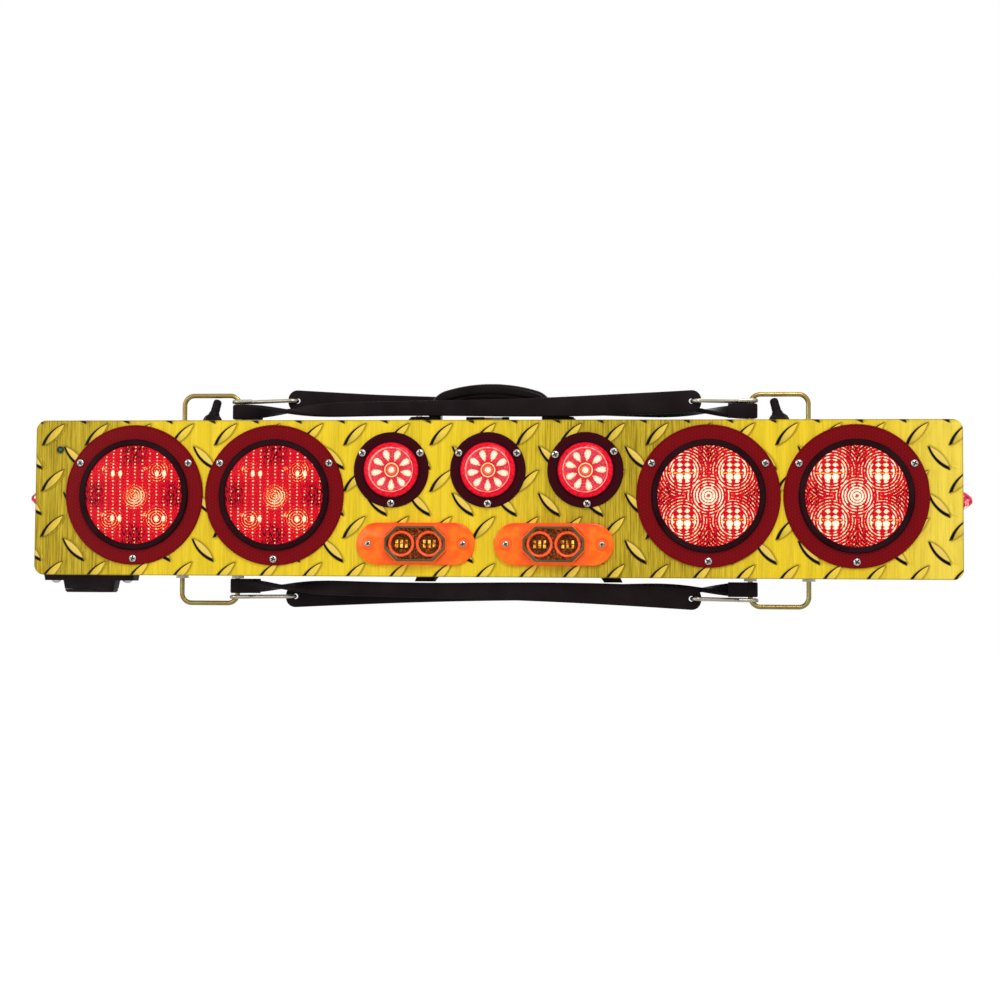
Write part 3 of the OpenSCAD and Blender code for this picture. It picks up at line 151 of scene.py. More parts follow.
class Field:
    """A number, place or colour that varies over a surface, with arithmetic in its node tree."""

    def __init__(self, tree, socket):
        self.tree = tree
        self.socket = socket

    def calc(self, operation, *others):
        """This with others in one Math node."""
        return self.tree.out("ShaderNodeMath", enumerate((self, *others)), operation=operation)

    def __add__(self, other):
        return self.calc("ADD", other)

    def __sub__(self, other):
        return self.calc("SUBTRACT", other)

    def __mul__(self, other):
        return self.calc("MULTIPLY", other)

    def __truediv__(self, other):
        return self.calc("DIVIDE", other)

    def __rsub__(self, other):
        return self.tree.out("ShaderNodeMath", enumerate((other, self)), operation="SUBTRACT")

    def __abs__(self):
        return self.calc("ABSOLUTE")

    def least(self, other):
        return self.calc("MINIMUM", other)

    def most(self, other):
        return self.calc("MAXIMUM", other)

    def wave(self, pitch):
        """Cosine wave of a pitch."""
        return (self * (TAU / pitch)).calc("COSINE")

    def share(self, low, high):
        """0 at low, 1 at high and even between them."""
        return self.tree.out("ShaderNodeMapRange", {0: self, 1: low, 2: high})

    def fade(self, low, high, start=0.0, end=1.0):
        """start below low, end above high and a smooth step between them."""
        inputs = {0: self, 1: low, 2: high, 3: start, 4: end}
        return self.tree.out("ShaderNodeMapRange", inputs, interpolation_type="SMOOTHSTEP")

    def split(self):
        """The three parts of a place."""
        parts = self.tree.add("ShaderNodeSeparateXYZ", {0: self}).outputs
        return [Field(self.tree, part) for part in parts]

    def stretch(self, scale, turn=(0, 0, 0)):
        """A place scaled and turned, so that a pattern on it becomes long one way."""
        return self.tree.out("ShaderNodeMapping", {"Vector": self, "Scale": scale, "Rotation": turn})

    def noise(self, scale, detail=2.0, roughness=0.5):
        inputs = {"Vector": self, "Scale": scale, "Detail": detail, "Roughness": roughness}
        return self.tree.out("ShaderNodeTexNoise", inputs)

    def ramp(self, *stops, interpolation="LINEAR"):
        """Colours at stops of (position, colour) or (position, red, green, blue)."""
        node = self.tree.add("ShaderNodeValToRGB", {0: self})
        band = node.color_ramp
        band.interpolation = interpolation
        while len(band.elements) < len(stops):
            band.elements.new(1.0)
        for element, (position, *colour) in zip(band.elements, stops):
            element.position = position
            element.color = colour[0] if len(colour) == 1 else rgb(*colour)
        return Field(self.tree, node.outputs[0])

    def mix(self, first, second):
        """Colour between two, with this as the share of the second."""
        return self.tree.blend(self, first, second)


class Tree:
    """A node tree, with short ways to add nodes and wire them."""

    def __init__(self, tree):
        self.tree = tree

    def wire(self, value, socket):
        """Links a socket to a field or another socket, or sets it to a constant."""
        value = getattr(value, "socket", value)
        if isinstance(value, bpy.types.NodeSocket):
            self.tree.links.new(value, socket)
        else:
            socket.default_value = value

    def add(self, kind, inputs=(), **settings):
        """A node with its settings and inputs."""
        node = self.tree.nodes.new(kind)
        for name, value in settings.items():
            setattr(node, name, value)
        for key, value in dict(inputs).items():
            self.wire(value, node.inputs[key])
        return node

    def out(self, kind, inputs=(), output=0, **settings):
        """A field from one output of a new node."""
        return Field(self, self.add(kind, inputs, **settings).outputs[output])

    def blend(self, share, first, second):
        """Colour between two, at a share of the second."""
        inputs = {0: share, 6: first, 7: second}
        return self.out("ShaderNodeMix", inputs, 2, data_type="RGBA", clamp_factor=True)


class Paint(Tree):
    """The node tree of one material, built round a Principled shader."""

    def __init__(self, name, **constants):
        self.material = bpy.data.materials.new(name)
        self.material.use_nodes = True
        super().__init__(self.material.node_tree)
        self.tree.nodes.clear()
        self.surface = self.add("ShaderNodeBsdfPrincipled")
        self.add("ShaderNodeOutputMaterial", {"Surface": self.surface.outputs[0]})
        self.coat(**constants)

    def coat(self, **values):
        """Gives the shader's sockets their values, and gives back the material."""
        for socket, value in values.items():
            self.wire(value, self.surface.inputs[socket.replace("_", " ")])
        return self.material

    def place(self):
        return self.out("ShaderNodeTexCoord", output="Object")

    def spot(self):
        """Place on the piece's own face, in millimetres, from its attribute."""
        return self.out("ShaderNodeAttribute", output="Vector", attribute_name="spot")

    def relief(self, height, depth, strength=1.0):
        inputs = {"Height": height, "Distance": depth, "Strength": strength}
        self.coat(Normal=self.out("ShaderNodeBump", inputs))


def moulded(name, colour, roughness=0.35, grain=0.4, shift=0.12, sheen=0.05):
    """Moulded plastic or rubber: slightly cloudy colour and a fine grain in gloss and surface."""
    paint = Paint(name, Specular_IOR_Level=sheen)
    cloud = paint.place().noise(34.0, 3.0)
    paint.relief(paint.place().noise(1400.0), 0.06 * MM, grain)
    return paint.coat(
        Base_Color=cloud.ramp((0.3, tinge(colour, 1 - shift)), (0.7, tinge(colour, 1 + shift, 0.004))),
        Roughness=cloud.fade(0.25, 0.75, roughness * 0.85, roughness * 1.2))


def plated(name, colour, roughness=0.3, streak=(1, 1, 1), tarnish=None):
    """Plated or bare metal with fine streaks and, where given, a second tarnish colour in patches."""
    paint = Paint(name, Metallic=1.0)
    lines = paint.place().stretch(streak).noise(900.0, 3.0)
    patch = paint.place().noise(90.0, 3.0)
    paint.relief(lines, 0.03 * MM, 0.35)
    return paint.coat(Base_Color=patch.ramp((0.35, colour), (0.7, tarnish or tinge(colour, 0.8))),
                      Roughness=lines.fade(0.3, 0.7, roughness * 0.7, roughness * 1.35))


def print_slip(x):
    """How far the print sits to the right of an even pitch: it bows from the middle to both ends."""
    return PRINT_SLIP - PRINT_BOW * (x - PRINT_MIDDLE) ** 2


def reach_of(x, z):
    """Length of a step of x along and z up."""
    return (x * x + z * z).calc("SQRT")


def lug_disc_r(settings):
    """Radius of the two arcs that make a lug's outline."""
    return (settings.lug_length ** 2 + settings.lug_width ** 2) / (4 * settings.lug_width)


def lug_edges(x, z, settings, lean, origin):
    """Depth inside the two arcs of the nearest lug of one set, and the place along it, in metres."""
    disc_r = lug_disc_r(settings)
    local = []
    for value, start, pitch in ((x, origin[0], settings.lug_pitch_x), (z, origin[1], settings.lug_pitch_z)):
        local.append((((value - start) / pitch + 0.5).calc("FRACT") - 0.5) * pitch)
    c, s = cos(lean), sin(lean)
    along = local[0] * c + local[1] * s
    across = local[1] * c - local[0] * s
    offset = disc_r - settings.lug_width / 2
    return disc_r - reach_of(along, across + offset), disc_r - reach_of(along, across - offset), along


def lug_ink(base, edges, rising, settings):
    """Adds one set of lugs to the print: bright fill, soft outer shade and a tapering ink line."""
    upper, lower, along = edges
    heavy, light = (upper, lower) if rising else (lower, upper)
    inside = upper.least(lower)
    fill = inside.fade(-0.1 * MM, 0.6 * MM, 0.0, 0.85) * light.fade(0.0, settings.lug_width, 1.0, 0.5)
    base = fill.mix(base, settings.print_bright)
    foot = settings.lug_length / 2
    if rising:
        dusk = inside.fade(0.0, 0.8 * MM) * along.fade(-foot, foot * 0.3, 0.5, 0.0)
        base = dusk.mix(base, settings.print_shade)
    else:
        base = inside.fade(0.0, 0.8 * MM, 0.0, 0.5).mix(base, settings.print_worn)
    for edge, other, reach, strength in ((light, heavy, 3.0 * MM, 0.62), (heavy, light, 2.4 * MM, 0.45)):
        soft = edge.fade(-reach, 0.0, 0.0, strength) * edge.fade(0.0, 0.5 * MM, 1.0, 0.0)
        base = (soft * other.fade(-1.0 * MM, 1.4 * MM)).mix(base, settings.print_shade)
    wide, thin = (2.3 * MM, 0.5 * MM) if rising else (1.5 * MM, 2.3 * MM)
    line = (abs(heavy - 0.35 * MM) / along.fade(-foot, foot, wide, thin)).fade(0.45, 1.0, 1.0, 0.0)
    return (line * light.fade(-0.5 * MM, 0.7 * MM)).mix(base, settings.print_ink)


def tread_print(settings):
    """Yellow tread plate print: brushed bands of yellow and mustard, and lugs drawn with ink edges."""
    paint = Paint("tread_print", Specular_IOR_Level=0.07)
    x, _, z = paint.place().split()
    share = x.share(PLATE_LOW.x, PLATE_HIGH.x)
    mustard, pale, shade = settings.print_mustard, settings.print_pale, settings.print_shade
    dull = share.ramp((0.0, WHITE), (0.06, WHITE), (0.13, NONE), (0.5, NONE), (0.6, WHITE), (0.7, WHITE),
                      (0.79, NONE), (1.0, NONE))
    base = dull.mix(settings.print_yellow, mustard)
    base = share.fade(0.88, 1.0, 0.0, 0.8).mix(base, pale)
    streaks = paint.place().stretch((1.0, 1.0, 0.03)).noise(800.0, 4.0, 0.7)
    wide = paint.place().stretch((1.0, 1.0, 0.05)).noise(110.0)
    base = wide.fade(0.35, 0.68, 0.0, 0.3).mix(base, mustard)
    base = streaks.fade(0.48, 0.75, 0.0, 0.45).mix(base, pale)
    base = (streaks.fade(0.3, 0.54, 1.0, 0.0) * (dull * 0.7 + 0.18)).mix(base, shade)
    aside = x - PRINT_MIDDLE
    even_x = x - PRINT_SLIP + aside * aside * PRINT_BOW
    lean, origin = settings.lug_lean, settings.lug_origin
    second = (origin[0] + settings.lug_pitch_x / 2, origin[1] + settings.lug_pitch_z / 2)
    for rising, start in ((True, origin), (False, second)):
        edges = lug_edges(even_x, z, settings, lean if rising else -lean, start)
        base = lug_ink(base, edges, rising, settings)
    # Within 1.6 mm of the plate's outline the print darkens towards the olive shade: painted shade along the
    # plate's edge.
    border = (PLATE_HIGH.x - abs(x)).least(PLATE_HIGH.z - abs(z))
    paint.relief(streaks, 0.02 * MM, 0.2)
    return paint.coat(Base_Color=border.fade(0.2 * MM, 1.6 * MM, 0.6, 0.0).mix(base, shade),
                      Roughness=streaks.fade(0.3, 0.7, 0.3, 0.46))


def reflex(name, colour, dark, pitch=3.1 * MM):
    """Retro-reflective plastic: a fine grid of cube corners under a glossy skin."""
    paint = Paint(name, Roughness=0.3, Specular_IOR_Level=0.05)
    x, _, z = paint.place().split()
    waves = []
    for turn in (0, 60, 120):
        c, s = cos(radians(turn)), sin(radians(turn))
        waves.append((x * c + z * s).wave(pitch))
    total = waves[0] + waves[1] + waves[2]
    cloud = paint.place().noise(60.0, 3.0)
    base = total.fade(-1.5, 3.0).ramp((0.0, dark), (1.0, colour))
    paint.relief(total, 0.02 * MM, 0.4)
    return paint.coat(Base_Color=cloud.fade(0.3, 0.75, 0.0, 0.35).mix(base, dark))


def nearest_of(x, z, spots):
    """Distance to the nearest of some points."""
    nearest = None
    for at_x, at_z in spots:
        distance = reach_of(x - at_x, z - at_z)
        nearest = nearest.least(distance) if nearest else distance
    return nearest


def optics(spread):
    """Middles of a stop lamp's five optics."""
    return [(0, 0)] + [(a * spread, b * spread) for a in (-1, 1) for b in (-1, 1)]


def bright_spots(x, z, distance, torn, spread, pitch):
    """Lens all lit: rings torn to short arcs by the flutes, and a grid of fat dots on each outer optic."""
    aside, radius = abs(x), reach_of(x, z)
    outer = aside.calc("GREATER_THAN", spread / 2)
    flutes = (aside - outer * spread - pitch / 2).wave(pitch).most(radius.fade(6.0, 11.0, 1.0, -1.0))
    flutes = flutes * distance.fade(9.0, 19.0, 1.0, 0.3)
    shelf = abs(z + 0.5) - (spread - 1.5)
    rings = distance.wave(2.8) * 1.25 + torn.fade(0.36, 0.6, -0.5, 0.35)
    grid = distance.fade(8.0, 15.0, 1.0, 0.0) * radius.fade(14.0, 20.0)
    bars = shelf.wave(5.4) * -1.0 * grid + rings * (1.0 - grid)
    level = (bars + flutes + distance.fade(3.0, 24.0, 0.75, -0.25)).fade(0.3, 1.5, 0.0, 0.5)
    pairs = [(a * spread + b * pitch / 2, height) for a in (-1, 1) for b in (-1, 1)
             for height in (spread - 5.5, -spread - 2.8)]
    fat = nearest_of(x, z, pairs).fade(2.2, 4.4, 0.6, 0.0)
    beside = abs(aside - (spread + 1))
    ledge = abs(shelf).fade(0.35, 0.9, 0.26, 0.0) * beside.fade(13.0, 18.0, 1.0, 0.0)
    return level.most(fat).most(ledge)


def dim_spots(x, z, distance, coarse, spread, pitch):
    """Lens lit from one side: columns of small dots, thin arcs and a few fat dots."""
    dots = (x - 1.6).wave(pitch).fade(0.5, 1.0) * z.wave(3.4).fade(-0.1, 0.9, 0.2, 1.0)
    level = dots * coarse.fade(0.34, 0.6, 0.06, 0.56)
    near = distance.fade(5.0, 18.0, 0.3, 0.05) * distance.wave(RING_PITCH).fade(0.3, 0.95)
    level = level.most(near * (x - z).fade(-16.0, 10.0, 0.5, 1.1))
    middle_r = nearest_of(x, z, [(1.0, -1.0)])
    arcs = middle_r.wave(RING_PITCH).fade(0.1, 0.9) * middle_r.fade(7.0, 17.0, 0.36, 0.0)
    level = level.most(arcs * (x - z).fade(-10.0, 10.0, 0.55, 1.3))
    squash = 0.62
    fat = [(at, height * squash) for at in (-21.0, -13.6, 23.8, 31.2)
           for height in (spread - 3.0, -spread + 0.2)]
    fat = nearest_of(x, z * squash, fat).fade(1.0, 2.8, 0.55, 0.0)
    warm = [(at, height) for at in (-spread - 7, spread / 2) for height in (spread + 2, -spread + 4)]
    return level.most(fat) + nearest_of(x, z, warm).fade(1.2, 3.4, 0.2, 0.0)


def stop_glow(name, settings, bright):
    """Lit red lens: rings round five optics, crossed by upright flutes that show the LEDs as dots."""
    paint = Paint(name, Roughness=0.25, Specular_IOR_Level=0.05, Emission_Strength=1.0)
    spot = paint.spot()
    x, z, _ = spot.split()
    spread, pitch = settings.optic_spread / MM, settings.flute_pitch / MM
    distance, radius = nearest_of(x, z, optics(spread)), reach_of(x, z)
    fine = spot.noise(0.75, 2.0, 0.7)
    strokes = spot.stretch((0.8, 0.26, 1.0), (0, 0, 0.6)).noise(1.0, 2.0, 0.6)
    if bright:
        spots = bright_spots(x, z, distance, spot.noise(0.45), spread, pitch)
    else:
        spots = dim_spots(x, z, distance, spot.noise(0.3, 2.0, 0.6), spread, pitch)
    gloom = abs(x).least(abs(z)).fade(3.0, 17.0, 1.0, 0.0) * radius.fade(24.0, 42.0)
    gloom = gloom * strokes.fade(0.4, 0.55, 0.34 if bright else 0.7, 0.0)
    level = spots + 0.36 + fine.fade(0.36, 0.62, -0.2, 0.05) - gloom
    colours = level.ramp((0.0, 60, 2, 10), (0.16, 164, 6, 28), (0.36, 228, 14, 40), (0.5, 240, 40, 46),
                         (0.58, 252, 190, 70), (0.68, 255, 246, 160), (0.8, 255, 255, 244))
    if bright:
        colours = radius.fade(0.8, 1.8, 1.0, 0.0).mix(colours, rgb(196, 60, 112))
    return paint.coat(Emission_Color=colours, Base_Color=level.ramp((0.0, 40, 0, 4), (1.0, 90, 8, 12)))


def marker_glow():
    """Lit dish of a marker lamp: crimson with fine pale circles, amber towards its middle."""
    paint = Paint("marker_dish_glow", Roughness=0.3, Specular_IOR_Level=0.05, Emission_Strength=1.0)
    spot = paint.spot()
    x, z, _ = spot.split()
    radius = reach_of(x, z)
    base = (radius / 26.0).ramp((0.0, 250, 180, 100), (0.2, 214, 60, 70), (0.3, 196, 26, 60),
                                (0.7, 204, 34, 70), (0.84, 222, 18, 48), (1.0, 230, 16, 40))
    fine = radius.wave(1.5).fade(-0.2, 0.9) * radius.fade(7.0, 17.0, 0.2, 0.6)
    fine = fine * spot.noise(0.5).fade(0.38, 0.62, 0.2, 1.0)
    base = fine.mix(base, rgb(240, 150, 140))
    return paint.coat(Emission_Color=base, Base_Color=paint.blend(0.8, base, rgb(60, 0, 10)))


def marker_lens_paint():
    """Red rim of a marker lens round a clear middle."""
    paint = Paint("marker_lens_red", Roughness=0.12, Specular_IOR_Level=0.1, Emission_Strength=0.75)
    spot = paint.spot()
    x, z, _ = spot.split()
    radius, grain = reach_of(x, z), spot.noise(0.35)
    red = grain.fade(0.3, 0.7).ramp((0.0, 190, 6, 26), (1.0, 236, 22, 44))
    ring = abs(radius - 21.8).fade(0.2, 0.6, 1.0, 0.0) * grain.fade(0.35, 0.6, 0.4, 0.9)
    tone = ring.mix(red, rgb(250, 190, 180))
    return paint.coat(Base_Color=paint.blend(0.6, tone, rgb(90, 0, 12)), Emission_Color=tone,
                      Alpha=radius.fade(21.2, 21.6, 0.05, 1.0))


def led_paint():
    """Lit LED dome: white on top with an amber foot."""
    paint = Paint("marker_led_white", Roughness=0.3, Specular_IOR_Level=0.05, Emission_Strength=1.0)
    grain = paint.place().noise(900.0)
    level = paint.spot().split()[1] + grain.fade(0.35, 0.65, -0.4, 0.4)
    tone = level.fade(-1.0, 1.0).ramp((0.0, 214, 60, 60), (0.3, 246, 150, 80), (0.55, 255, 226, 140),
                                      (0.8, 255, 253, 236))
    return paint.coat(Emission_Color=tone, Base_Color=grain.ramp((0.3, 120, 60, 40), (0.7, 150, 90, 60)))


def strobe_chip():
    """LED chips of a strobe, some brighter than others."""
    paint = Paint("strobe_led", Roughness=0.3, Specular_IOR_Level=0.1, Emission_Strength=0.9)
    tone = paint.place().noise(260.0, 2.0, 0.6).ramp((0.36, 70, 44, 12), (0.46, 190, 110, 30),
                                                     (0.54, 240, 170, 60), (0.64, 255, 226, 96))
    return paint.coat(Emission_Color=tone, Base_Color=paint.blend(0.5, tone, rgb(40, 24, 8)))


def strobe_inside():
    """Dark inside of a strobe behind its window, flecked with amber, its brightest flecks painted glints."""
    paint = Paint("strobe_inside", Roughness=0.35, Specular_IOR_Level=0.05)
    flecks_and_glints = paint.place().noise(620.0, 3.0, 0.7)
    paint.relief(flecks_and_glints, 0.08 * MM, 0.5)
    # The bright orange top step of this ramp paints glints: painted reflections.
    return paint.coat(Base_Color=flecks_and_glints.ramp((0.34, 28, 20, 6), (0.5, 66, 52, 16), (0.57, 130, 60, 24),
                                            (0.64, 230, 104, 56)))


def strobe_amber():
    """Moulded amber of a strobe: deeper orange round the window and the screws."""
    paint = Paint("strobe_amber", Roughness=0.16, Specular_IOR_Level=0.2, Emission_Strength=0.3)
    spot = paint.spot()
    x, z, _ = spot.split()
    aside = abs(x)
    boss = reach_of(aside - STROBE_SCREW_X, z)
    base = spot.noise(0.09).fade(0.3, 0.7).ramp((0.0, 228, 84, 14), (1.0, 230, 108, 18))
    base = z.fade(14.0, 20.0, 0.0, 0.7).mix(base, rgb(214, 44, 20))
    base = aside.fade(30.0, 37.0, 0.6, 0.0).mix(base, rgb(220, 72, 28))
    base = abs(boss - 5.6).fade(0.4, 1.2, 0.6, 0.0).mix(base, rgb(206, 50, 26))
    return paint.coat(Base_Color=base, Emission_Color=base)


def screw_steel():
    """Bright screw heads with painted shade: near black and not metallic in the cross recess, and darker
    round the foot of the head.
    """
    paint = Paint("screw_heads", Metallic=1.0, Roughness=0.26)
    x, y, z = paint.spot().split()
    # Mask of the cross recess, painted near black: painted shade in the recess.
    cross = abs(x).least(abs(z)).fade(0.17, 0.23, 1.0, 0.0) * abs(x).most(abs(z)).fade(0.6, 0.7, 1.0, 0.0)
    steel = paint.place().noise(700.0).ramp((0.35, 150, 144, 140), (0.65, 222, 218, 214))
    tone = cross.mix(steel, rgb(14, 10, 10))
    # Darker where the head is low, round its foot: a painted shading ring.
    return paint.coat(Base_Color=(y.fade(0.0, 0.32, 1.0, 0.0) * 0.45).mix(tone, rgb(90, 80, 78)),
                      Metallic=1.0 - cross)


def pilot_paint():
    """Green pilot lens inside a black bezel."""
    paint = Paint("pilot_light", Roughness=0.3, Specular_IOR_Level=0.3)
    centre = middle("pilot_light")
    x, _, z = paint.place().split()
    green = paint.place().noise(500.0, 1.0).ramp((0.3, 14, 84, 62), (0.7, 30, 120, 84))
    lens = reach_of(x - centre.x, z - centre.z).fade(1.9 * MM, 2.2 * MM)
    return paint.coat(Base_Color=lens.mix(green, rgb(14, 14, 14)))


def fuse_paint():
    """Black fuse holder with a bright metal middle."""
    paint = Paint("fuse_holder", Roughness=0.3, Specular_IOR_Level=0.1)
    low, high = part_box("fuse_holder")
    share = paint.place().split()[0].share(low.x, high.x)
    bright = share.fade(0.42, 0.44) * share.fade(0.83, 0.85, 1.0, 0.0)
    metal = share.fade(0.45, 0.7).ramp((0.0, 170, 120, 60), (1.0, 214, 208, 200))
    black = paint.place().noise(600.0).ramp((0.3, 14, 12, 12), (0.7, 28, 24, 24))
    return paint.coat(Base_Color=bright.mix(black, metal), Metallic=bright)


def gem_red():
    """Cut red lens with facets of several reds, and a few pale facets that are painted highlights."""
    paint = Paint("side_lamp_red", Roughness=0.12, Specular_IOR_Level=0.3, Emission_Strength=0.45)
    facets = paint.out("ShaderNodeTexVoronoi", {"Vector": paint.place(), "Scale": 230.0}, "Color")
    # The pale yellow and near-white steps of this ramp are painted highlights on some facets.
    tone = facets.split()[0].ramp(
        (0.0, 130, 6, 24), (0.3, 206, 24, 70), (0.5, 178, 10, 24), (0.66, 236, 190, 110),
        (0.78, 240, 120, 150), (0.88, 255, 220, 214), interpolation="CONSTANT")
    return paint.coat(Base_Color=tone, Emission_Color=tone)


def lit(name, colour, strength, base):
    """A lamp's lit element: a bright middle that falls off unevenly."""
    paint = Paint(name, Roughness=0.3, Emission_Strength=strength)
    cloud = paint.place().noise(420.0)
    return paint.coat(Emission_Color=cloud.ramp((0.35, tinge(colour, 0.82)), (0.6, colour)),
                      Base_Color=cloud.ramp((0.3, base), (0.7, colour)))


def strobe_window():
    """Nearly clear amber window with faint flow lines."""
    paint = Paint("strobe_window", Roughness=0.05, Alpha=0.04, Specular_IOR_Level=0.3, Coat_Weight=0.1,
                  Coat_Roughness=0.04)
    colour = rgb(180, 70, 16)
    paint.relief(paint.place().noise(260.0, 1.0), 0.05 * MM, 0.2)
    return paint.coat(Base_Color=paint.place().noise(50.0).ramp((0.3, tinge(colour, 0.86)), (0.7, colour)))


def piece_from(name, mesh, material, body="housing", replaces=()):
    """A finished object at the origin with its material, riding on a body."""
    piece = bpy.data.objects.new(name, mesh)
    bpy.context.scene.collection.objects.link(piece)
    mesh.materials.clear()
    mesh.materials.append(material)
    if body:
        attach(piece, body)
    if replaces:
        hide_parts(*replaces)
    return piece


def mesh_from(name, points, faces, sharp=35.0):
    """A mesh with outward faces, smooth but for its sharp edges."""
    mesh = bpy.data.meshes.new(name)
    mesh.from_pydata([tuple(p) for p in points], [], faces)
    shape = bmesh.new()
    shape.from_mesh(mesh)
    bmesh.ops.remove_doubles(shape, verts=shape.verts, dist=1e-7)
    bmesh.ops.recalc_face_normals(shape, faces=shape.faces)
    finish_mesh(shape, mesh, sharp)
    return mesh


def finish_mesh(shape, mesh, sharp=35.0):
    """Writes a bmesh back, with smooth faces and sharp edges past an angle."""
    limit = radians(sharp)
    for face in shape.faces:
        face.smooth = True
    for edge in shape.edges:
        edge.smooth = len(edge.link_faces) == 2 and edge.calc_face_angle(0.0) < limit
    shape.to_mesh(mesh)
    shape.free()
    mesh.update()


def loft(name, rings, closed=False, sharp=35.0):
    """A skin over rings of equally many points, closed to a loop or with flat caps at its ends."""
    count, turns = len(rings[0]), len(rings)
    points = [p for ring in rings for p in ring]
    faces = []
    for i in range(turns if closed else turns - 1):
        for j in range(count):
            k = (j + 1) % count
            a, b = i * count, ((i + 1) % turns) * count
            faces.append((a + j, a + k, b + k, b + j))
    if not closed:
        faces.append(tuple(range(count))[::-1])
        faces.append(tuple((turns - 1) * count + j for j in range(count)))
    return mesh_from(name, points, faces, sharp=sharp)


def spun(name, profile, centre=ORIGIN, axis=OUT, steps=96):
    """A profile of (radius, height) pairs turned about an axis through centre."""
    axis = axis.normalized()
    side = axis.orthogonal().normalized()
    other = axis.cross(side)
    rings = []
    for radius, height in profile:
        foot = centre + axis * height
        rings.append([foot + (side * cos(a) + other * sin(a)) * max(radius, 1e-6)
                      for a in around(steps)])
    return loft(name, rings)


def hoop(name, profile, steps=64):
    """A closed ring: a small closed profile of (radius, height) pairs turned about a lamp's axis."""
    rings = [[Vector((r * cos(a), -h, r * sin(a))) for r, h in profile] for a in around(steps)]
    return loft(name, rings, closed=True)


def on_face(centre, x, z, out):
    """Point at (x, z) from a lamp's centre, out from the film."""
    return Vector((centre.x + x, FACE_Y - out, centre.z + z))


def keep_spots(mesh, spot_of):
    """Stores a spot for each point of a mesh, for its material."""
    spots = mesh.attributes.new("spot", "FLOAT_VECTOR", "POINT")
    for vertex, spot in zip(mesh.vertices, spots.data):
        spot.vector = spot_of(vertex.co)


def keep_face(mesh, centre):
    """Stores each point's place on a lamp's face in millimetres."""
    keep_spots(mesh, lambda point: ((point.x - centre.x) / MM, (point.z - centre.z) / MM, 0.0))


def keep_form(mesh, unit=MM):
    """Stores each point's own place in a template, as along, out and up."""
    keep_spots(mesh, lambda point: (point.x / unit, -point.y / unit, point.z / unit))


def scattered(name, places, template, material, turns=None, scale=1.0):
    """One mesh of a template repeated at places, made by Geometry Nodes."""
    mesh = bpy.data.meshes.new(name)
    mesh.from_pydata([tuple(p) for p in places], [], [])
    turn = mesh.attributes.new("turn", "FLOAT_VECTOR", "POINT")
    for item, angle in zip(turn.data, turns or [0.0] * len(places)):
        item.vector = (0, angle, 0)
    points = bpy.data.objects.new(name, mesh)
    source = bpy.data.objects.new(name + "_template", template)
    for item in (points, source):
        bpy.context.scene.collection.objects.link(item)
    group = bpy.data.node_groups.new(name, "GeometryNodeTree")
    names = {}
    for label, kind in (("Places", "Geometry"), ("Size", "Float"), ("Piece", "Object"),
                        ("Finish", "Material")):
        socket = group.interface.new_socket(label, in_out="INPUT", socket_type="NodeSocket" + kind)
        names[label] = socket.identifier
    group.interface.new_socket("Pieces", in_out="OUTPUT", socket_type="NodeSocketGeometry")
    tree = Tree(group)
    given = tree.add("NodeGroupInput").outputs
    turned = tree.add("GeometryNodeInputNamedAttribute", {"Name": "turn"}, data_type="FLOAT_VECTOR")
    piece = tree.add("GeometryNodeObjectInfo", {"Object": given["Piece"], "As Instance": True})
    copies = tree.add("GeometryNodeInstanceOnPoints", {
        "Points": given["Places"], "Instance": piece.outputs["Geometry"],
        "Rotation": turned.outputs["Attribute"], "Scale": given["Size"]})
    real = tree.add("GeometryNodeRealizeInstances", {"Geometry": copies.outputs["Instances"]})
    coat = tree.add("GeometryNodeSetMaterial", {
        "Geometry": real.outputs["Geometry"], "Material": given["Finish"]})
    tree.add("NodeGroupOutput", {"Pieces": coat.outputs["Geometry"]})
    modifier = points.modifiers.new("repeat", "NODES")
    modifier.node_group = group
    modifier[names["Size"]] = scale
    modifier[names["Piece"]] = source
    modifier[names["Finish"]] = material
    return evaluated(points, source)


def evaluated(item, helper):
    """The mesh that an object's modifiers make. The object and its helper go."""
    bpy.context.view_layer.update()
    seen = item.evaluated_get(bpy.context.evaluated_depsgraph_get())
    result = bpy.data.meshes.new_from_object(seen)
    for used in (item, helper):
        bpy.data.objects.remove(used)
    return result


def cut_with(name, mesh, cutter_mesh):
    """The mesh less a cutter, by an exact boolean."""
    body = bpy.data.objects.new(name, mesh)
    cutter = bpy.data.objects.new(name + "_cutter", cutter_mesh)
    for item in (body, cutter):
        bpy.context.scene.collection.objects.link(item)
    modifier = body.modifiers.new("cut", "BOOLEAN")
    modifier.operation = "DIFFERENCE"
    modifier.solver = "EXACT"
    modifier.object = cutter
    result = evaluated(body, cutter)
    shape = bmesh.new()
    shape.from_mesh(result)
    finish_mesh(shape, result)
    return result


def repeated(name, places, template, material, turns=None, scale=1.0, replaces=()):
    """A piece made of one template repeated at places."""
    mesh = scattered(name, places, template, material, turns, scale)
    piece_from(name, mesh, material, replaces=replaces)


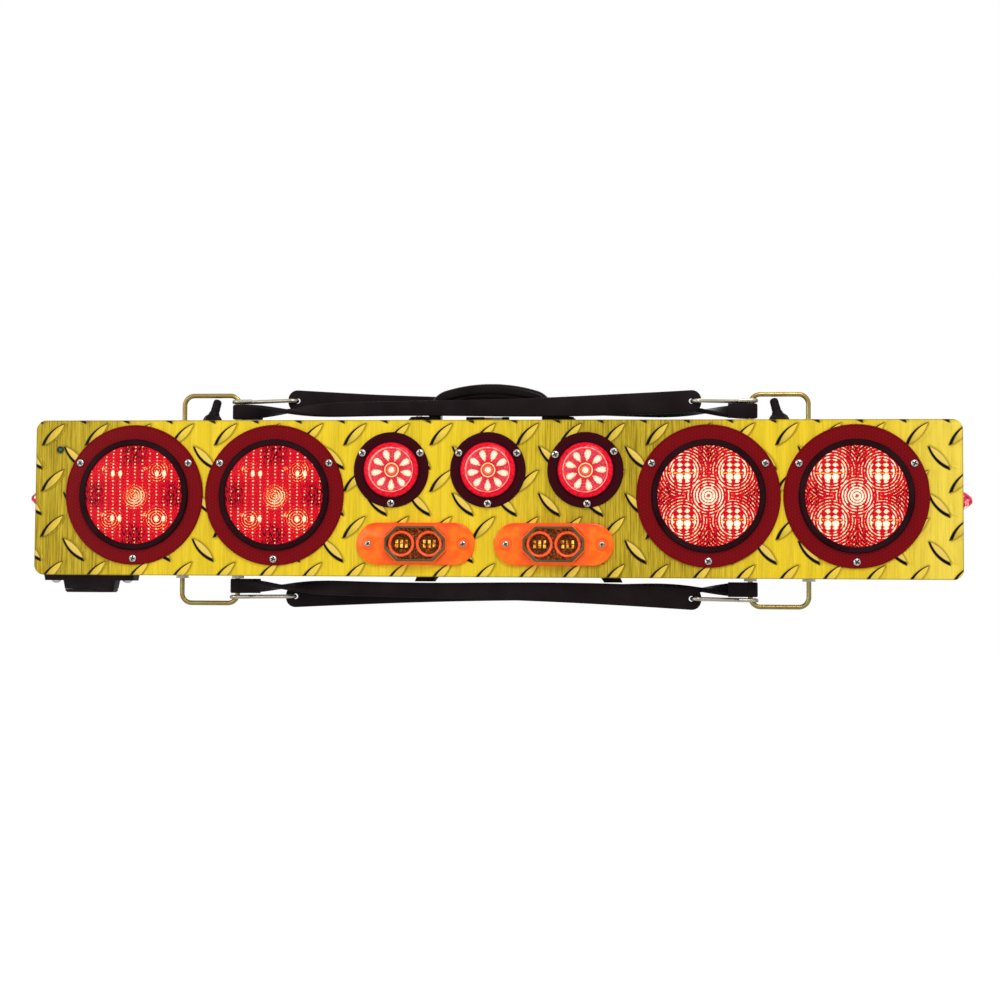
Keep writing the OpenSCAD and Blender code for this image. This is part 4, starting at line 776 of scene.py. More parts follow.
class BarSizes(bpy.types.PropertyGroup):
    """Sizes and colours of the printed plate and the lamps."""

    lug_pitch_x: FloatProperty(name="Lug pitch along", description="Spacing of the lugs along the bar",
                               default=42.8 * MM, unit="LENGTH", precision=4)
    lug_pitch_z: FloatProperty(name="Lug pitch up", description="Spacing of the lugs up the bar",
                               default=46 * MM, unit="LENGTH", precision=4)
    lug_length: FloatProperty(name="Lug length", description="Length of one lug",
                              default=31 * MM, unit="LENGTH", precision=4)
    lug_width: FloatProperty(name="Lug width", description="Width of one lug",
                             default=7.5 * MM, unit="LENGTH", precision=4)
    lug_height: FloatProperty(name="Lug height", description="Height of a lug's flat top over the film",
                              default=0.5 * MM, unit="LENGTH", precision=4)
    lug_crown: FloatProperty(name="Lug crown", description="Rise of a lug's crown over its flat top",
                             default=0.45 * MM, unit="LENGTH", precision=4)
    lug_lean: FloatProperty(name="Lug lean", description="Lean of the lugs from the horizontal",
                            default=radians(46), subtype="ANGLE")
    lug_origin: FloatVectorProperty(name="Lug origin", description="Middle of one rising lug, along and up",
                                    size=2, default=(-8 * MM, 17.3 * MM), unit="LENGTH")
    print_yellow: FloatVectorProperty(name="Yellow", description="Main yellow of the print",
                                      size=4, subtype="COLOR", default=rgb(232, 199, 38))
    print_mustard: FloatVectorProperty(name="Mustard", description="Darker bands of the print",
                                       size=4, subtype="COLOR", default=rgb(180, 154, 34))
    print_pale: FloatVectorProperty(name="Pale yellow", description="Pale end of the print",
                                    size=4, subtype="COLOR", default=rgb(240, 214, 84))
    print_bright: FloatVectorProperty(name="Lug yellow", description="Fill of the printed lugs",
                                      size=4, subtype="COLOR", default=rgb(236, 202, 78))
    print_worn: FloatVectorProperty(name="Dull lug yellow", description="Fill of the falling lugs",
                                    size=4, subtype="COLOR", default=rgb(222, 192, 104))
    print_shade: FloatVectorProperty(name="Olive shade", description="Soft shade round the printed lugs",
                                     size=4, subtype="COLOR", default=rgb(112, 92, 20))
    print_ink: FloatVectorProperty(name="Ink", description="Dark line along the printed lugs",
                                   size=4, subtype="COLOR", default=rgb(6, 5, 2))
    optic_spread: FloatProperty(name="Optic spread", description="Offset of the outer optics, each way",
                                default=24 * MM, unit="LENGTH", precision=4)
    flute_pitch: FloatProperty(name="Flute pitch", description="Spacing of the upright flutes of a stop lens",
                               default=7.4 * MM, unit="LENGTH", precision=4)
    strap_steps: IntProperty(name="Strap steps", description="Cross-sections along a strap", default=150)
    lens_rings: IntProperty(name="Lens rings", description="Rings of faces over a stop lamp's lens",
                            default=56)


class BAR_OT_finishes(bpy.types.Operator):
    """Give every carried-over piece of the frame its finish"""

    bl_idname = "bar.finishes"
    bl_label = "Finishes"

    def execute(self, context):
        finishes = {
            "housing_metal": plated("brushed_housing", rgb(196, 198, 200), 0.38, (0.02, 1, 1)),
            "plate_metal": plated("plate_edge", rgb(190, 190, 188), 0.4, (0.02, 1, 1)),
            "printed_film": tread_print(context.scene.bar_sizes),
            "rivet_metal": plated("rivet_metal", rgb(190, 190, 190), 0.4),
            "red_reflector": reflex("red_reflex", rgb(128, 14, 20), rgb(110, 8, 16)),
            "dark_reflector": reflex("maroon_plastic", rgb(66, 8, 18), rgb(46, 4, 12), 1.6 * MM),
            "red_lens": moulded("stop_lens_rim", rgb(150, 8, 20), 0.2, sheen=0.1),
            "marker_red_lens": moulded("marker_lens_plain", rgb(200, 14, 34), 0.15, sheen=0.4),
            "amber_lens": moulded("amber_plain", rgb(250, 116, 28), 0.15, sheen=0.4),
            "lamp_body": moulded("lamp_body_plastic", rgb(30, 30, 33), 0.45),
            "marker_body": moulded("marker_body_plastic", rgb(190, 186, 180), 0.3),
            "strobe_bezel": strobe_inside(),
            "grommet_rubber": moulded("grommet_rubber", rgb(34, 5, 11), 0.4, sheen=0.04),
            "screw_steel": plated("screw_steel", rgb(205, 203, 198), 0.26),
            "zinc_rod": plated("yellow_zinc_rod", rgb(150, 144, 88), 0.3, tarnish=rgb(146, 116, 62)),
            "nut_steel": plated("nut_zinc", rgb(186, 186, 180), 0.36),
            "strap_rubber": moulded("strap_rubber", rgb(20, 15, 17), 0.55, 0.6, sheen=0.03),
            "hook_wire": plated("hook_wire", rgb(184, 176, 160), 0.28),
            "handle_plastic": moulded("handle_plastic", rgb(16, 8, 9), 0.24, 0.2),
            "black_plastic": moulded("black_plastic", rgb(20, 17, 19)),
            "switch_plastic": moulded("switch_plastic", rgb(60, 60, 74), 0.5),
            "lever_metal": plated("lever_chrome", rgb(220, 220, 222), 0.12),
            "boot_rubber": moulded("boot_rubber", rgb(20, 14, 15), 0.5, 0.6, sheen=0.04),
            "socket_plastic": moulded("socket_plastic", rgb(30, 22, 24), 0.36, sheen=0.04),
            "pin_brass": plated("pin_brass", rgb(214, 176, 96), 0.22),
            "bumper_rubber": moulded("bumper_rubber", rgb(18, 15, 15), 0.6, 0.7, sheen=0.04),
            "side_lamp_red": gem_red(),
            "pilot_green": pilot_paint(),
            "battery_wrap": moulded("battery_wrap", rgb(50, 84, 150), 0.25, sheen=0.4),
            "board_green": moulded("board_green", rgb(40, 110, 66), 0.4, sheen=0.4),
            "wire_cover": moulded("wire_cover", rgb(34, 34, 34), 0.45),
        }
        slots = {entry["node"]: entry["material_slot"] for entry in frame["record"]["subparts"]}
        for name, node in frame["nodes"].items():
            node.data.materials.clear()
            node.data.materials.append(finishes[slots[name]])
        frame["nodes"]["fuse_holder"].data.materials[0] = fuse_paint()
        return {"FINISHED"}


def lug_shows(x, z, settings):
    """True where a lug's middle lies on the plate and isn't wholly under a lamp."""
    over, under = settings.lug_length * 0.3, settings.lug_length * 0.25
    if abs(x) > PLATE_HIGH.x + over or abs(z) > PLATE_HIGH.z + over:
        return False
    return all(hypot(x - lamp.x, z - lamp.z) >= radius - under for lamp, radius in FLANGES)


def trim(shape, parts, point, normal):
    """Cuts away what lies beyond a plane and closes the cut."""
    cut = bmesh.ops.bisect_plane(shape, geom=parts, plane_co=point, plane_no=normal, clear_outer=True)
    edges = [item for item in cut["geom_cut"] if isinstance(item, bmesh.types.BMEdge)]
    bmesh.ops.holes_fill(shape, edges=edges, sides=0)


def outline_planes(inset):
    """Planes round the plate's outline and its rounded corners, each as a point and an outward normal."""
    planes = []
    for angle in around(CORNER_PLANES):
        normal = Vector((cos(angle), 0, sin(angle)))
        corner = Vector((copysign(PLATE_HIGH.x - CORNER_R, normal.x), 0,
                         copysign(PLATE_HIGH.z - CORNER_R, normal.z)))
        planes.append((corner + normal * (CORNER_R - inset), normal))
    return planes


class BAR_OT_lugs(bpy.types.Operator):
    """Crown the lugs of the tread plate"""

    bl_idname = "bar.lugs"
    bl_label = "Lug crowns"

    def execute(self, context):
        settings = context.scene.bar_sizes
        template = self.crown(settings)
        places, turns = self.places(settings)
        film = frame["nodes"]["face_film"].data.materials[0]
        mesh = scattered("lug_crowns", places, template, film, turns)
        shape = bmesh.new()
        shape.from_mesh(mesh)
        shape.verts.ensure_lookup_table()
        size = len(template.vertices)
        lugs = [shape.verts[i * size:(i + 1) * size] for i in range(len(places))]
        for (x, _, z), points in zip(places, lugs):
            for lamp, radius in FLANGES:
                if hypot(x - lamp.x, z - lamp.z) >= radius + settings.lug_length / 2:
                    continue
                toward = Vector((lamp.x - x, 0, lamp.z - z)).normalized()
                # The keys of a dict keep their order, so each run cuts alike.
                parts = dict.fromkeys(item for v in points if v.is_valid
                                      for item in (v, *v.link_edges, *v.link_faces))
                trim(shape, list(parts), Vector((lamp.x, 0, lamp.z)) - toward * (radius - 3 * MM), toward)
        for point, normal in outline_planes(0.3 * MM):
            trim(shape, shape.verts[:] + shape.edges[:] + shape.faces[:], point, normal)
        finish_mesh(shape, mesh, sharp=60.0)
        piece_from("lug_crowns", mesh, film)
        return {"FINISHED"}

    def crown(self, settings):
        """One lug: rings of two arcs that shrink towards its ridge."""
        disc_r, rows, steps, rings = lug_disc_r(settings), 5, 14, []
        for i in range(rows):
            share = 1 - i / rows
            rise = settings.lug_height + settings.lug_crown * (1 - share * share)
            ring = []
            for way in (1, -1):
                for k in range(steps):
                    along = way * settings.lug_length * (k / steps - 0.5)
                    half = sqrt(disc_r ** 2 - along ** 2) - (disc_r - settings.lug_width / 2)
                    ring.append(Vector((along * share, -rise, -way * half * share)))
            rings.append(ring)
        return loft("lug_crown_shape", rings, sharp=60.0)

    def places(self, settings):
        """Middles and turns of the lugs that show."""
        places, turns = [], []
        columns = ceil(PLATE_HIGH.x / settings.lug_pitch_x) + 1
        lines = ceil(PLATE_HIGH.z / settings.lug_pitch_z) + 1
        for i in range(-columns, columns + 1):
            for j in range(-lines, lines + 1):
                for half, way in ((0.0, 1), (0.5, -1)):
                    x = settings.lug_origin[0] + (i + half) * settings.lug_pitch_x
                    x += print_slip(x)
                    z = settings.lug_origin[1] + (j + half) * settings.lug_pitch_z
                    if lug_shows(x, z, settings):
                        places.append((x, FACE_Y, z))
                        turns.append(-way * settings.lug_lean)
        return places, turns


class BAR_OT_stop_lamps(bpy.types.Operator):
    """Make the lit lenses of the four stop lamps"""

    bl_idname = "bar.stop_lamps"
    bl_label = "Stop lamp lenses"

    def execute(self, context):
        settings = context.scene.bar_sizes
        paints = {bright: stop_glow(name, settings, bright)
                  for name, bright in (("stop_lens_bright", True), ("stop_lens_dim", False))}
        for i, centre in enumerate(STOPS):
            mesh = loft(f"stop_lens_{i + 1}", self.rings(centre, settings), sharp=50.0)
            keep_face(mesh, centre)
            piece_from(f"stop_lens_{i + 1}", mesh, paints[i >= 2],
                       replaces=[f"stop_lamp_{i + 1}_lens"])
        return {"FINISHED"}

    def rings(self, centre, settings):
        """Rings of a lens: a straight rim and a dome with ripples round five optics."""
        low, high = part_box("stop_lamp_1_lens")
        back, front = FACE_Y - high.y, FACE_Y - low.y
        rim, bevel = front - 2.4 * MM, 0.6 * MM
        turns = around(144)
        rings = [[on_face(centre, STOP_LENS_R * cos(a), STOP_LENS_R * sin(a), out) for a in turns]
                 for out in (back, rim)]
        for step in range(settings.lens_rings, 0, -1):
            radius = (STOP_LENS_R - bevel) * step / settings.lens_rings
            dome = (front - rim - bevel) * sqrt(1 - (radius / STOP_LENS_R) ** 2)
            ring = []
            for a in turns:
                x, z = radius * cos(a), radius * sin(a)
                near = min(hypot(x - at_x, z - at_z) for at_x, at_z in optics(settings.optic_spread))
                ripple = 0.2 * MM * (1 + cos(TAU * near / (RING_PITCH * MM)))
                ring.append(on_face(centre, x, z, rim + dome + ripple))
            rings.append(ring)
        return rings


def drop_half(share):
    """Half the width of a drop-shaped LED at a share of its length."""
    widest = 0.68
    if share < widest:
        return sin(share / widest * pi / 2) ** 0.85
    return sqrt(max(1 - ((share - widest) / (1 - widest)) ** 2, 0.0))


class BAR_OT_marker_lamps(bpy.types.Operator):
    """Make the dishes, LEDs and lenses of the marker lamps"""

    bl_idname = "bar.marker_lamps"
    bl_label = "Marker lamps"

    leds: IntProperty(name="LEDs", description="Outer LEDs of one marker lamp", default=9)
    led_start: FloatProperty(name="LED start", description="Inner end of an LED from the lamp's middle",
                             default=8.6 * MM, unit="LENGTH", precision=4)
    led_end: FloatProperty(name="LED end", description="Outer end of an LED from the lamp's middle",
                           default=20.8 * MM, unit="LENGTH", precision=4)
    led_width: FloatProperty(name="LED width", description="Width of an LED", default=6.8 * MM,
                             unit="LENGTH", precision=4)

    def execute(self, context):
        glow, lens_paint, white = marker_glow(), marker_lens_paint(), led_paint()
        outer, top = MARK_LENS_R / MM, extent("marker_lamp_1_flange").y / MM + 0.6
        dish_profile = metres((0, -1.28), (outer - 0.6, -1.28), (outer - 0.6, -1.12), (7.0, -1.12),
                              (6.8, -0.62), (0, -0.58))
        lens_profile = metres(
            (0, 1.2), (outer - 1.5, 1.2), (outer - 1.5, -1), (outer, -1), (outer, top - 1.6),
            (outer - 0.8, top - 0.6), (outer - 3.6, top + 0.4), (22.6, top + 0.7), (22.3, top + 1.5),
            (21.5, top + 1.7), (21.0, top + 1.1), (14, top + 1.9), (7, top + 2.3), (0, top + 2.4))
        centres = [Vector((lamp.x, FACE_Y, lamp.z)) for lamp in MARKERS]
        for i, centre in enumerate(centres, 1):
            dish = spun(f"marker_dish_{i}", dish_profile, centre, steps=72)
            keep_face(dish, centre)
            piece_from(f"marker_dish_{i}", dish, glow)
            lens = spun(f"marker_lens_{i}", lens_profile, centre)
            keep_face(lens, centre)
            piece_from(f"marker_lens_{i}", lens, lens_paint,
                       replaces=[f"marker_lamp_{i}_lens"])
        places = [centre for centre in centres for _ in range(self.leds)]
        turns = [-radians(start) - turn for start in LED_TURNS for turn in around(self.leds)]
        repeated("marker_leds", places, self.drop(), white, turns)
        hub = spun("hub_shape", metres((0, -1.2), (3.5, -1.2), (3.2, -0.4), (2.4, 0.5), (0, 0.9)), steps=32)
        keep_form(hub)
        repeated("marker_hubs", centres, hub, white)
        amber = lit("marker_ring_amber", rgb(255, 206, 120), 1.0, rgb(250, 120, 50))
        ring = hoop("ring_shape", metres((6.0, -1.2), (7.2, -1.2), (7.0, -0.5), (6.6, -0.3), (6.2, -0.5)))
        repeated("marker_rings", centres, ring, amber)
        return {"FINISHED"}

    def drop(self):
        """One drop-shaped LED dome, pointing along +X from the lamp's middle."""
        length, steps, middle_share = self.led_end - self.led_start, 14, 0.62
        shares = [0.5 - 0.5 * cos(pi * k / steps) for k in range(steps + 1)]
        outline = [(u, drop_half(u)) for u in shares] + [(u, -drop_half(u)) for u in shares[-2:0:-1]]
        rings = []
        for scale, rise in ((1.0, -1.2), (0.98, -0.6), (0.85, 0.0), (0.6, 0.5), (0.3, 0.75), (0.1, 0.8)):
            ring = []
            for u, v in outline:
                along = self.led_start + length * (middle_share + (u - middle_share) * scale)
                ring.append(Vector((along, -rise * MM, v * scale * self.led_width / 2)))
            rings.append(ring)
        shape = loft("drop_shape", rings)
        keep_form(shape)
        return shape


def stadium_point(angle, length, height):
    """Point of a stadium's outline in the direction of an angle from its middle."""
    c, s = cos(angle), sin(angle)
    radius, flat = height / 2, (length - height) / 2
    if abs(s) > 1e-9 and abs(c) * radius <= abs(s) * flat:
        return (radius * c / abs(s), copysign(radius, s))
    b = c * copysign(flat, c)
    reach = b + sqrt(max(b * b - flat * flat + radius * radius, 0.0))
    return (reach * c, reach * s)


def octagon_point(angle, half_l, half_h, cut):
    """Point of a cut-cornered oblong's outline in the direction of an angle from its middle."""
    c, s = abs(cos(angle)), abs(sin(angle))
    reach = min(half_l / max(c, 1e-9), half_h / max(s, 1e-9), (half_l + half_h - cut) / (c + s))
    return (reach * cos(angle), reach * sin(angle))


class BAR_OT_strobes(bpy.types.Operator):
    """Make the amber strobe lamps"""

    bl_idname = "bar.strobes"
    bl_label = "Strobe lamps"

    cut: FloatProperty(name="Corner cut", description="Corner cut of the window", default=12 * MM,
                       unit="LENGTH")
    cup_radius: FloatProperty(name="Cup radius", description="Outer radius of a reflector's ring",
                              default=12.8 * MM, unit="LENGTH", precision=4)
    cup_pitch: FloatProperty(name="Cup spacing", description="Spacing of the two reflectors",
                             default=27.4 * MM, unit="LENGTH", precision=4)

    def execute(self, context):
        amber, window, chip_paint = strobe_amber(), strobe_window(), strobe_chip()
        ring_paint = lit("strobe_ring", rgb(236, 84, 36), 0.55, rgb(190, 56, 20))
        olive = moulded("strobe_gasket", rgb(78, 70, 26), 0.2, 0.3, 0.3, 0.4)
        size = extent("strobe_left_lens")
        top = size.y / MM
        for side, lamp in zip(("left", "right"), STROBES):
            rings = []
            for inset, out in metres((0.4, 0.02), (0, 0.5), (0, 2.6), (0.5, 3.5), (1.6, 4.0)):
                rings.append([on_face(lamp, *stadium_point(a, size.x - 2 * inset, size.z - 2 * inset), out)
                              for a in around(OVAL_STEPS)])
            rings += self.oblongs(lamp, (2.6, 4.0), (1.9, 4.5), (1.5, top - 2.4), (1.0, top - 1.2),
                                  (0.1, top - 0.6), (-0.9, top - 0.6), (-1.0, 6.4), (0.15, 6.0), (0.15, 0.02))
            mesh = loft(f"strobe_base_{side}", rings, closed=True)
            keep_face(mesh, lamp)
            piece_from(f"strobe_base_{side}", mesh, amber,
                       replaces=[f"strobe_{side}_lens"])
            rings = self.oblongs(lamp, (0.6, top - 0.7), (0.4, top + 0.1), (-1.0, top + 0.3),
                                 (-1.6, top - 0.1), (-1.6, top - 0.7))
            gasket = loft(f"strobe_gasket_{side}", rings, closed=True)
            piece_from(f"strobe_gasket_{side}", gasket, olive)
            rings = self.oblongs(lamp, (-0.8, top - 1.6), (-0.8, top - 0.7), (-2.2, top - 0.25),
                                 (-8, top - 0.05), (-14, top), shrink=0.05)
            pane = loft(f"strobe_window_{side}", rings)
            piece_from(f"strobe_window_{side}", pane, window)
        cups = [Vector((lamp.x + way * self.cup_pitch / 2, FACE_Y, lamp.z))
                for lamp in STROBES for way in (-1, 1)]
        outer, level = self.cup_radius / MM, 5.8
        profile = metres((outer, level), (outer - 0.1, level + 1.4), (outer - 0.9, level + 2.0),
                         (outer - 1.9, level + 1.7), (outer - 2.6, level + 0.6), (outer - 2.7, level))
        repeated("strobe_rings", cups, hoop("cup_ring_shape", profile), ring_paint)
        column, row, half_w, half_h = 4.8 * MM, 2.1 * MM, 1.35, 1.75
        chips = [cup + Vector((k * column, 0, j * row)) for cup in cups for k in (-1, 0, 1) for j in (-1, 1)]
        chip = loft("chip_shape", [[Vector((x * half_w * scale, -out, z * half_h * scale)) for x, z in SQUARE]
                                   for scale, out in metres((1, 2.9), (1, 3.5), (0.75, 3.8))])
        repeated("strobe_leds", chips, chip, chip_paint)
        return {"FINISHED"}

    def oblongs(self, lamp, *stops, shrink=0.0):
        """Rings of the window's outline, each grown and raised by millimetres."""
        bezel, rings = extent("strobe_left_module"), []
        for grow, out in stops:
            half_l, half_h = bezel.x / 2 + grow * MM, bezel.z / 2 + grow * MM
            cut = self.cut * (1 + grow * shrink)
            rings.append([on_face(lamp, *octagon_point(a, half_l, half_h, cut), out * MM)
                          for a in around(OVAL_STEPS)])
        return rings


class BAR_OT_screws(bpy.types.Operator):
    """Make the pan-head screws of all the lamps"""

    bl_idname = "bar.screws"
    bl_label = "Lamp screws"

    head: FloatProperty(name="Head", description="Head diameter of the flange screws", default=7.7 * MM,
                        unit="LENGTH", precision=4)
    strobe_head: FloatProperty(name="Strobe head", description="Head diameter of the strobe screws",
                               default=6.0 * MM, unit="LENGTH", precision=4)

    def execute(self, context):
        paint, template = screw_steel(), self.pan_head()
        flange = extent("stop_lamp_1_flange")
        groups = [(STOPS, flange.x / 2 - STOP_SCREW_IN, flange.y - 0.5 * MM, (0, 0, 0, 0)),
                  (MARKERS, MARKER_SCREW_R, 2.2 * MM, MARK_TURNS)]
        places, turns = [], []
        for lamps, radius, out, twists in groups:
            for i, lamp in enumerate(lamps):
                for k, angle in enumerate(SCREW_ANGLES):
                    a = radians(angle + twists[i])
                    places.append(on_face(lamp, radius * cos(a), radius * sin(a), out))
                    turns.append(0.9 * k + 1.7 * i)
        repeated("lamp_screw_heads", places, template, paint, turns, self.head / 2,
                 replaces=["lamp_screws"])
        places = [on_face(lamp, s * STROBE_SCREW_X * MM, 0, 4.8 * MM) for lamp in STROBES for s in (-1, 1)]
        repeated("strobe_screw_heads", places, template, paint, [0.4, 1.4, 2.4, 3.4],
                 self.strobe_head / 2, replaces=["strobe_screws"])
        return {"FINISHED"}

    def pan_head(self):
        """A pan head of radius 1 with a cross recess, its seat on y = 0, facing -Y, and a short shank."""
        profile = [(0, -2.2), (0.35, -2.2), (0.5, -2.0), (0.5, 0), (1.0, 0), (1.0, 0.18), (0.95, 0.34),
                   (0.83, 0.47), (0.62, 0.57), (0.34, 0.62), (0, 0.64)]
        head = spun("pan_head_shape", profile, steps=40)
        points, faces = [], []
        for wide, high in ((0.64, 0.17), (0.17, 0.64)):
            start = len(points)
            for y, k in ((-0.9, 1.0), (-0.12, 0.45)):
                points += [(x * wide * k, y, z * high * k) for x, z in SQUARE]
            faces += [tuple(start + i for i in face) for face in
                      ((0, 1, 2, 3), (4, 7, 6, 5), (0, 4, 5, 1), (1, 5, 6, 2), (2, 6, 7, 3), (3, 7, 4, 0))]
        mesh = cut_with("pan_head", head, mesh_from("cross_shape", points, faces))
        keep_form(mesh, 1.0)
        return mesh


def ease(t):
    """0 to 1 with flat ends."""
    t = min(max(t, 0.0), 1.0)
    return t * t * (3 - 2 * t)


class StrapForm:
    """Plan, heights and widths of one rubber strap, in millimetres in its own frame."""

    LEG, SPAN, THICK, EYE, BOW = 256.5, 58.0, 4.6, 5.0, 15.9
    NARROW, WIDE, LEAD, HOLE_IN = 14.6, 22.0, 7.0, 9.5
    CLIMB, TWIST_RUN, HOLE_R, BOW_RUN, TAIL, WRAP = 2.2, 135.0, 2.7, 150.0, 22.0, 157.5
    HOLE_X = 2 * LEG - SPAN

    def __init__(self, heights):
        self.heights = heights
        self.run = self.HOLE_X + self.HOLE_IN

    def height(self, x):
        u, (start, middle_z, end) = x / self.run, self.heights
        if u < 0.5:
            return start + (middle_z - start) * ease(u * 2)
        hole = 1 - self.HOLE_IN / self.run
        return middle_z + (end - middle_z) * min((u * 2 - 1) / (hole * 2 - 1), 1.0) ** self.CLIMB

    def twist(self, x):
        t = min(max(x / self.TWIST_RUN, 0.0), 1.0)
        return pi / 2 * t * (3 - t * t)

    def bow(self, x):
        """Sideways place: out from the eye, then straight towards the other leg."""
        a = self.EYE + 0.7 + (self.BOW - self.EYE) * ease(x / self.BOW_RUN)
        b = (2 * self.LEG - x) * self.LEAD / self.SPAN
        return (a + b - sqrt((a - b) ** 2 + 2)) / 2

    def width(self, x):
        end, r = self.run - x, self.WIDE * 0.42
        w = self.NARROW + (self.WIDE - self.NARROW) * ease((x / self.run - 0.3) * 1.5)
        return w if end >= r else w - 2 * r + 2 * sqrt(max(r * r - (r - end) ** 2, 0.0))

    def section(self, width):
        """Cross-section with rounded long edges, as (across, up) pairs."""
        half, t, r = max(width / 2, 0.4), self.THICK / 2, min(1.5, max(width / 2 - 0.1, 0.3))
        ring = []
        for quarter, (way, level) in enumerate(((1, 1), (-1, 1), (-1, -1), (1, -1))):
            for k in range(5):
                a = radians(90 * quarter + 22.5 * k)
                ring.append((way * (t - r) + r * cos(a), level * (half - r) + r * sin(a)))
        return ring

    def ring(self, place, heading, z, width, twist=0.0):
        """Points of a cross-section, twisted about the strap's run and turned to its heading."""
        (x, y), c, s = place, cos(twist), sin(twist)
        points = []
        for across, up in self.section(width):
            side, rise = across * c - up * s, across * s + up * c
            points.append((x - side * sin(heading), y + side * cos(heading), z + rise))
        return points

    def rings(self, steps):
        """Rings of the tail beside the leg, of the eye round it, of the run and of its rounded end."""
        start = self.heights[0]
        rings = [self.ring((self.TAIL * (1 - k / 4), self.EYE), pi, start, self.NARROW) for k in range(4)]
        for k in range(15):
            a = radians(90 + self.WRAP * k / 14)
            place = (self.EYE * cos(a), self.EYE * sin(a))
            rings.append(self.ring(place, a + pi / 2, start, self.NARROW))
        stops = [k * (self.run - 12) / steps for k in range(steps + 1)]
        stops += [self.run - e for e in (10.5, 9, 7.4, 5.8, 4.4, 3.2, 2.2, 1.4, 0.7, 0.25, 0.05)]
        for x in stops:
            heading = atan(self.bow(x - 0.5) - self.bow(x + 0.5))
            rings.append(self.ring((x, -self.bow(x)), heading, self.height(x), self.width(x), self.twist(x)))
        return rings


class BAR_OT_straps(bpy.types.Operator):
    """Make the four rubber straps"""

    bl_idname = "bar.straps"
    bl_label = "Rubber straps"

    def execute(self, context):
        steps = context.scene.bar_sizes.strap_steps
        paint = moulded("strap_rubber_smooth", rgb(26, 18, 20), 0.5, 0.5, sheen=0.03)
        over_top = 13.2
        for name, way, level, lifts in (
                ("strap_top_front", 1, 1, (0, 2.2, 9.4)),
                ("strap_top_back", -1, 1, (0.2, 7, 12)),
                ("strap_bottom_front", 1, -1, (-0.6, 2.8, 9.2)),
                ("strap_bottom_back", -1, -1, (0, 4.4, 9.6))):
            form = StrapForm([level * (TOP_Z / MM + over_top + lift) for lift in lifts])

            def placed(point):
                x, y, z = point
                return Vector((way * (x - form.LEG) * MM, MID_Y + way * y * MM, z * MM))

            mesh = loft(name, [[placed(p) for p in ring] for ring in form.rings(steps)], sharp=60.0)
            hole = placed((form.HOLE_X, -form.LEAD, form.heights[2]))
            ahead = placed((form.HOLE_X - 1, -form.bow(form.HOLE_X - 1), form.heights[2]))
            profile = metres((0, -12), (form.HOLE_R, -12), (form.HOLE_R, 12), (0, 12))
            drill = spun(name + "_drill", profile, hole, UP.cross(ahead - hole), steps=32)
            piece_from(name, cut_with(name, mesh, drill), paint, replaces=[name])
        return {"FINISHED"}


class BAR_OT_grip(bpy.types.Operator):
    """Make the soft pad under the carry handle's grip"""

    bl_idname = "bar.grip"
    bl_label = "Grip pad"

    arc: FloatProperty(name="Arc", description="Radius of the grip's centre line", default=150 * MM,
                       unit="LENGTH")
    thick: FloatProperty(name="Grip", description="Thickness of the grip", default=12 * MM, unit="LENGTH")
    depth: FloatProperty(name="Pad", description="Depth of the pad in the middle", default=3.2 * MM,
                         unit="LENGTH", precision=4)

    def execute(self, context):
        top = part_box("carry_handle")[1].z
        centre = Vector((0, MID_Y, top - self.thick / 2 - self.arc))
        inner, half, steps = self.arc - self.thick / 2, radians(16.0), 24
        finger, least, lift = 8, 0.2 * MM, 0.3 * MM
        rings = []
        for k in range(2 * steps + 1):
            turn = half * (k / steps - 1)
            deep = least + self.depth * (1 - abs(turn / half) ** 3) + lift * cos(TAU * k / finger)
            ring = []
            for across, down in ((-10.5, -1.0), (10.5, -1.0), (10.5, 0.55), (9.6, 0.86), (8.0, 1.0),
                                 (-8.0, 1.0), (-9.6, 0.86), (-10.5, 0.55)):
                reach = inner - (deep * down if down > 0 else -MM)
                ring.append(centre + Vector((sin(turn) * reach, across * MM, cos(turn) * reach)))
            rings.append(ring)
        pad = moulded("grip_pad", rgb(16, 9, 10), 0.5, 0.6, sheen=0.04)
        piece_from("grip_pad", loft("grip_pad", rings, sharp=50.0), pad)
        return {"FINISHED"}


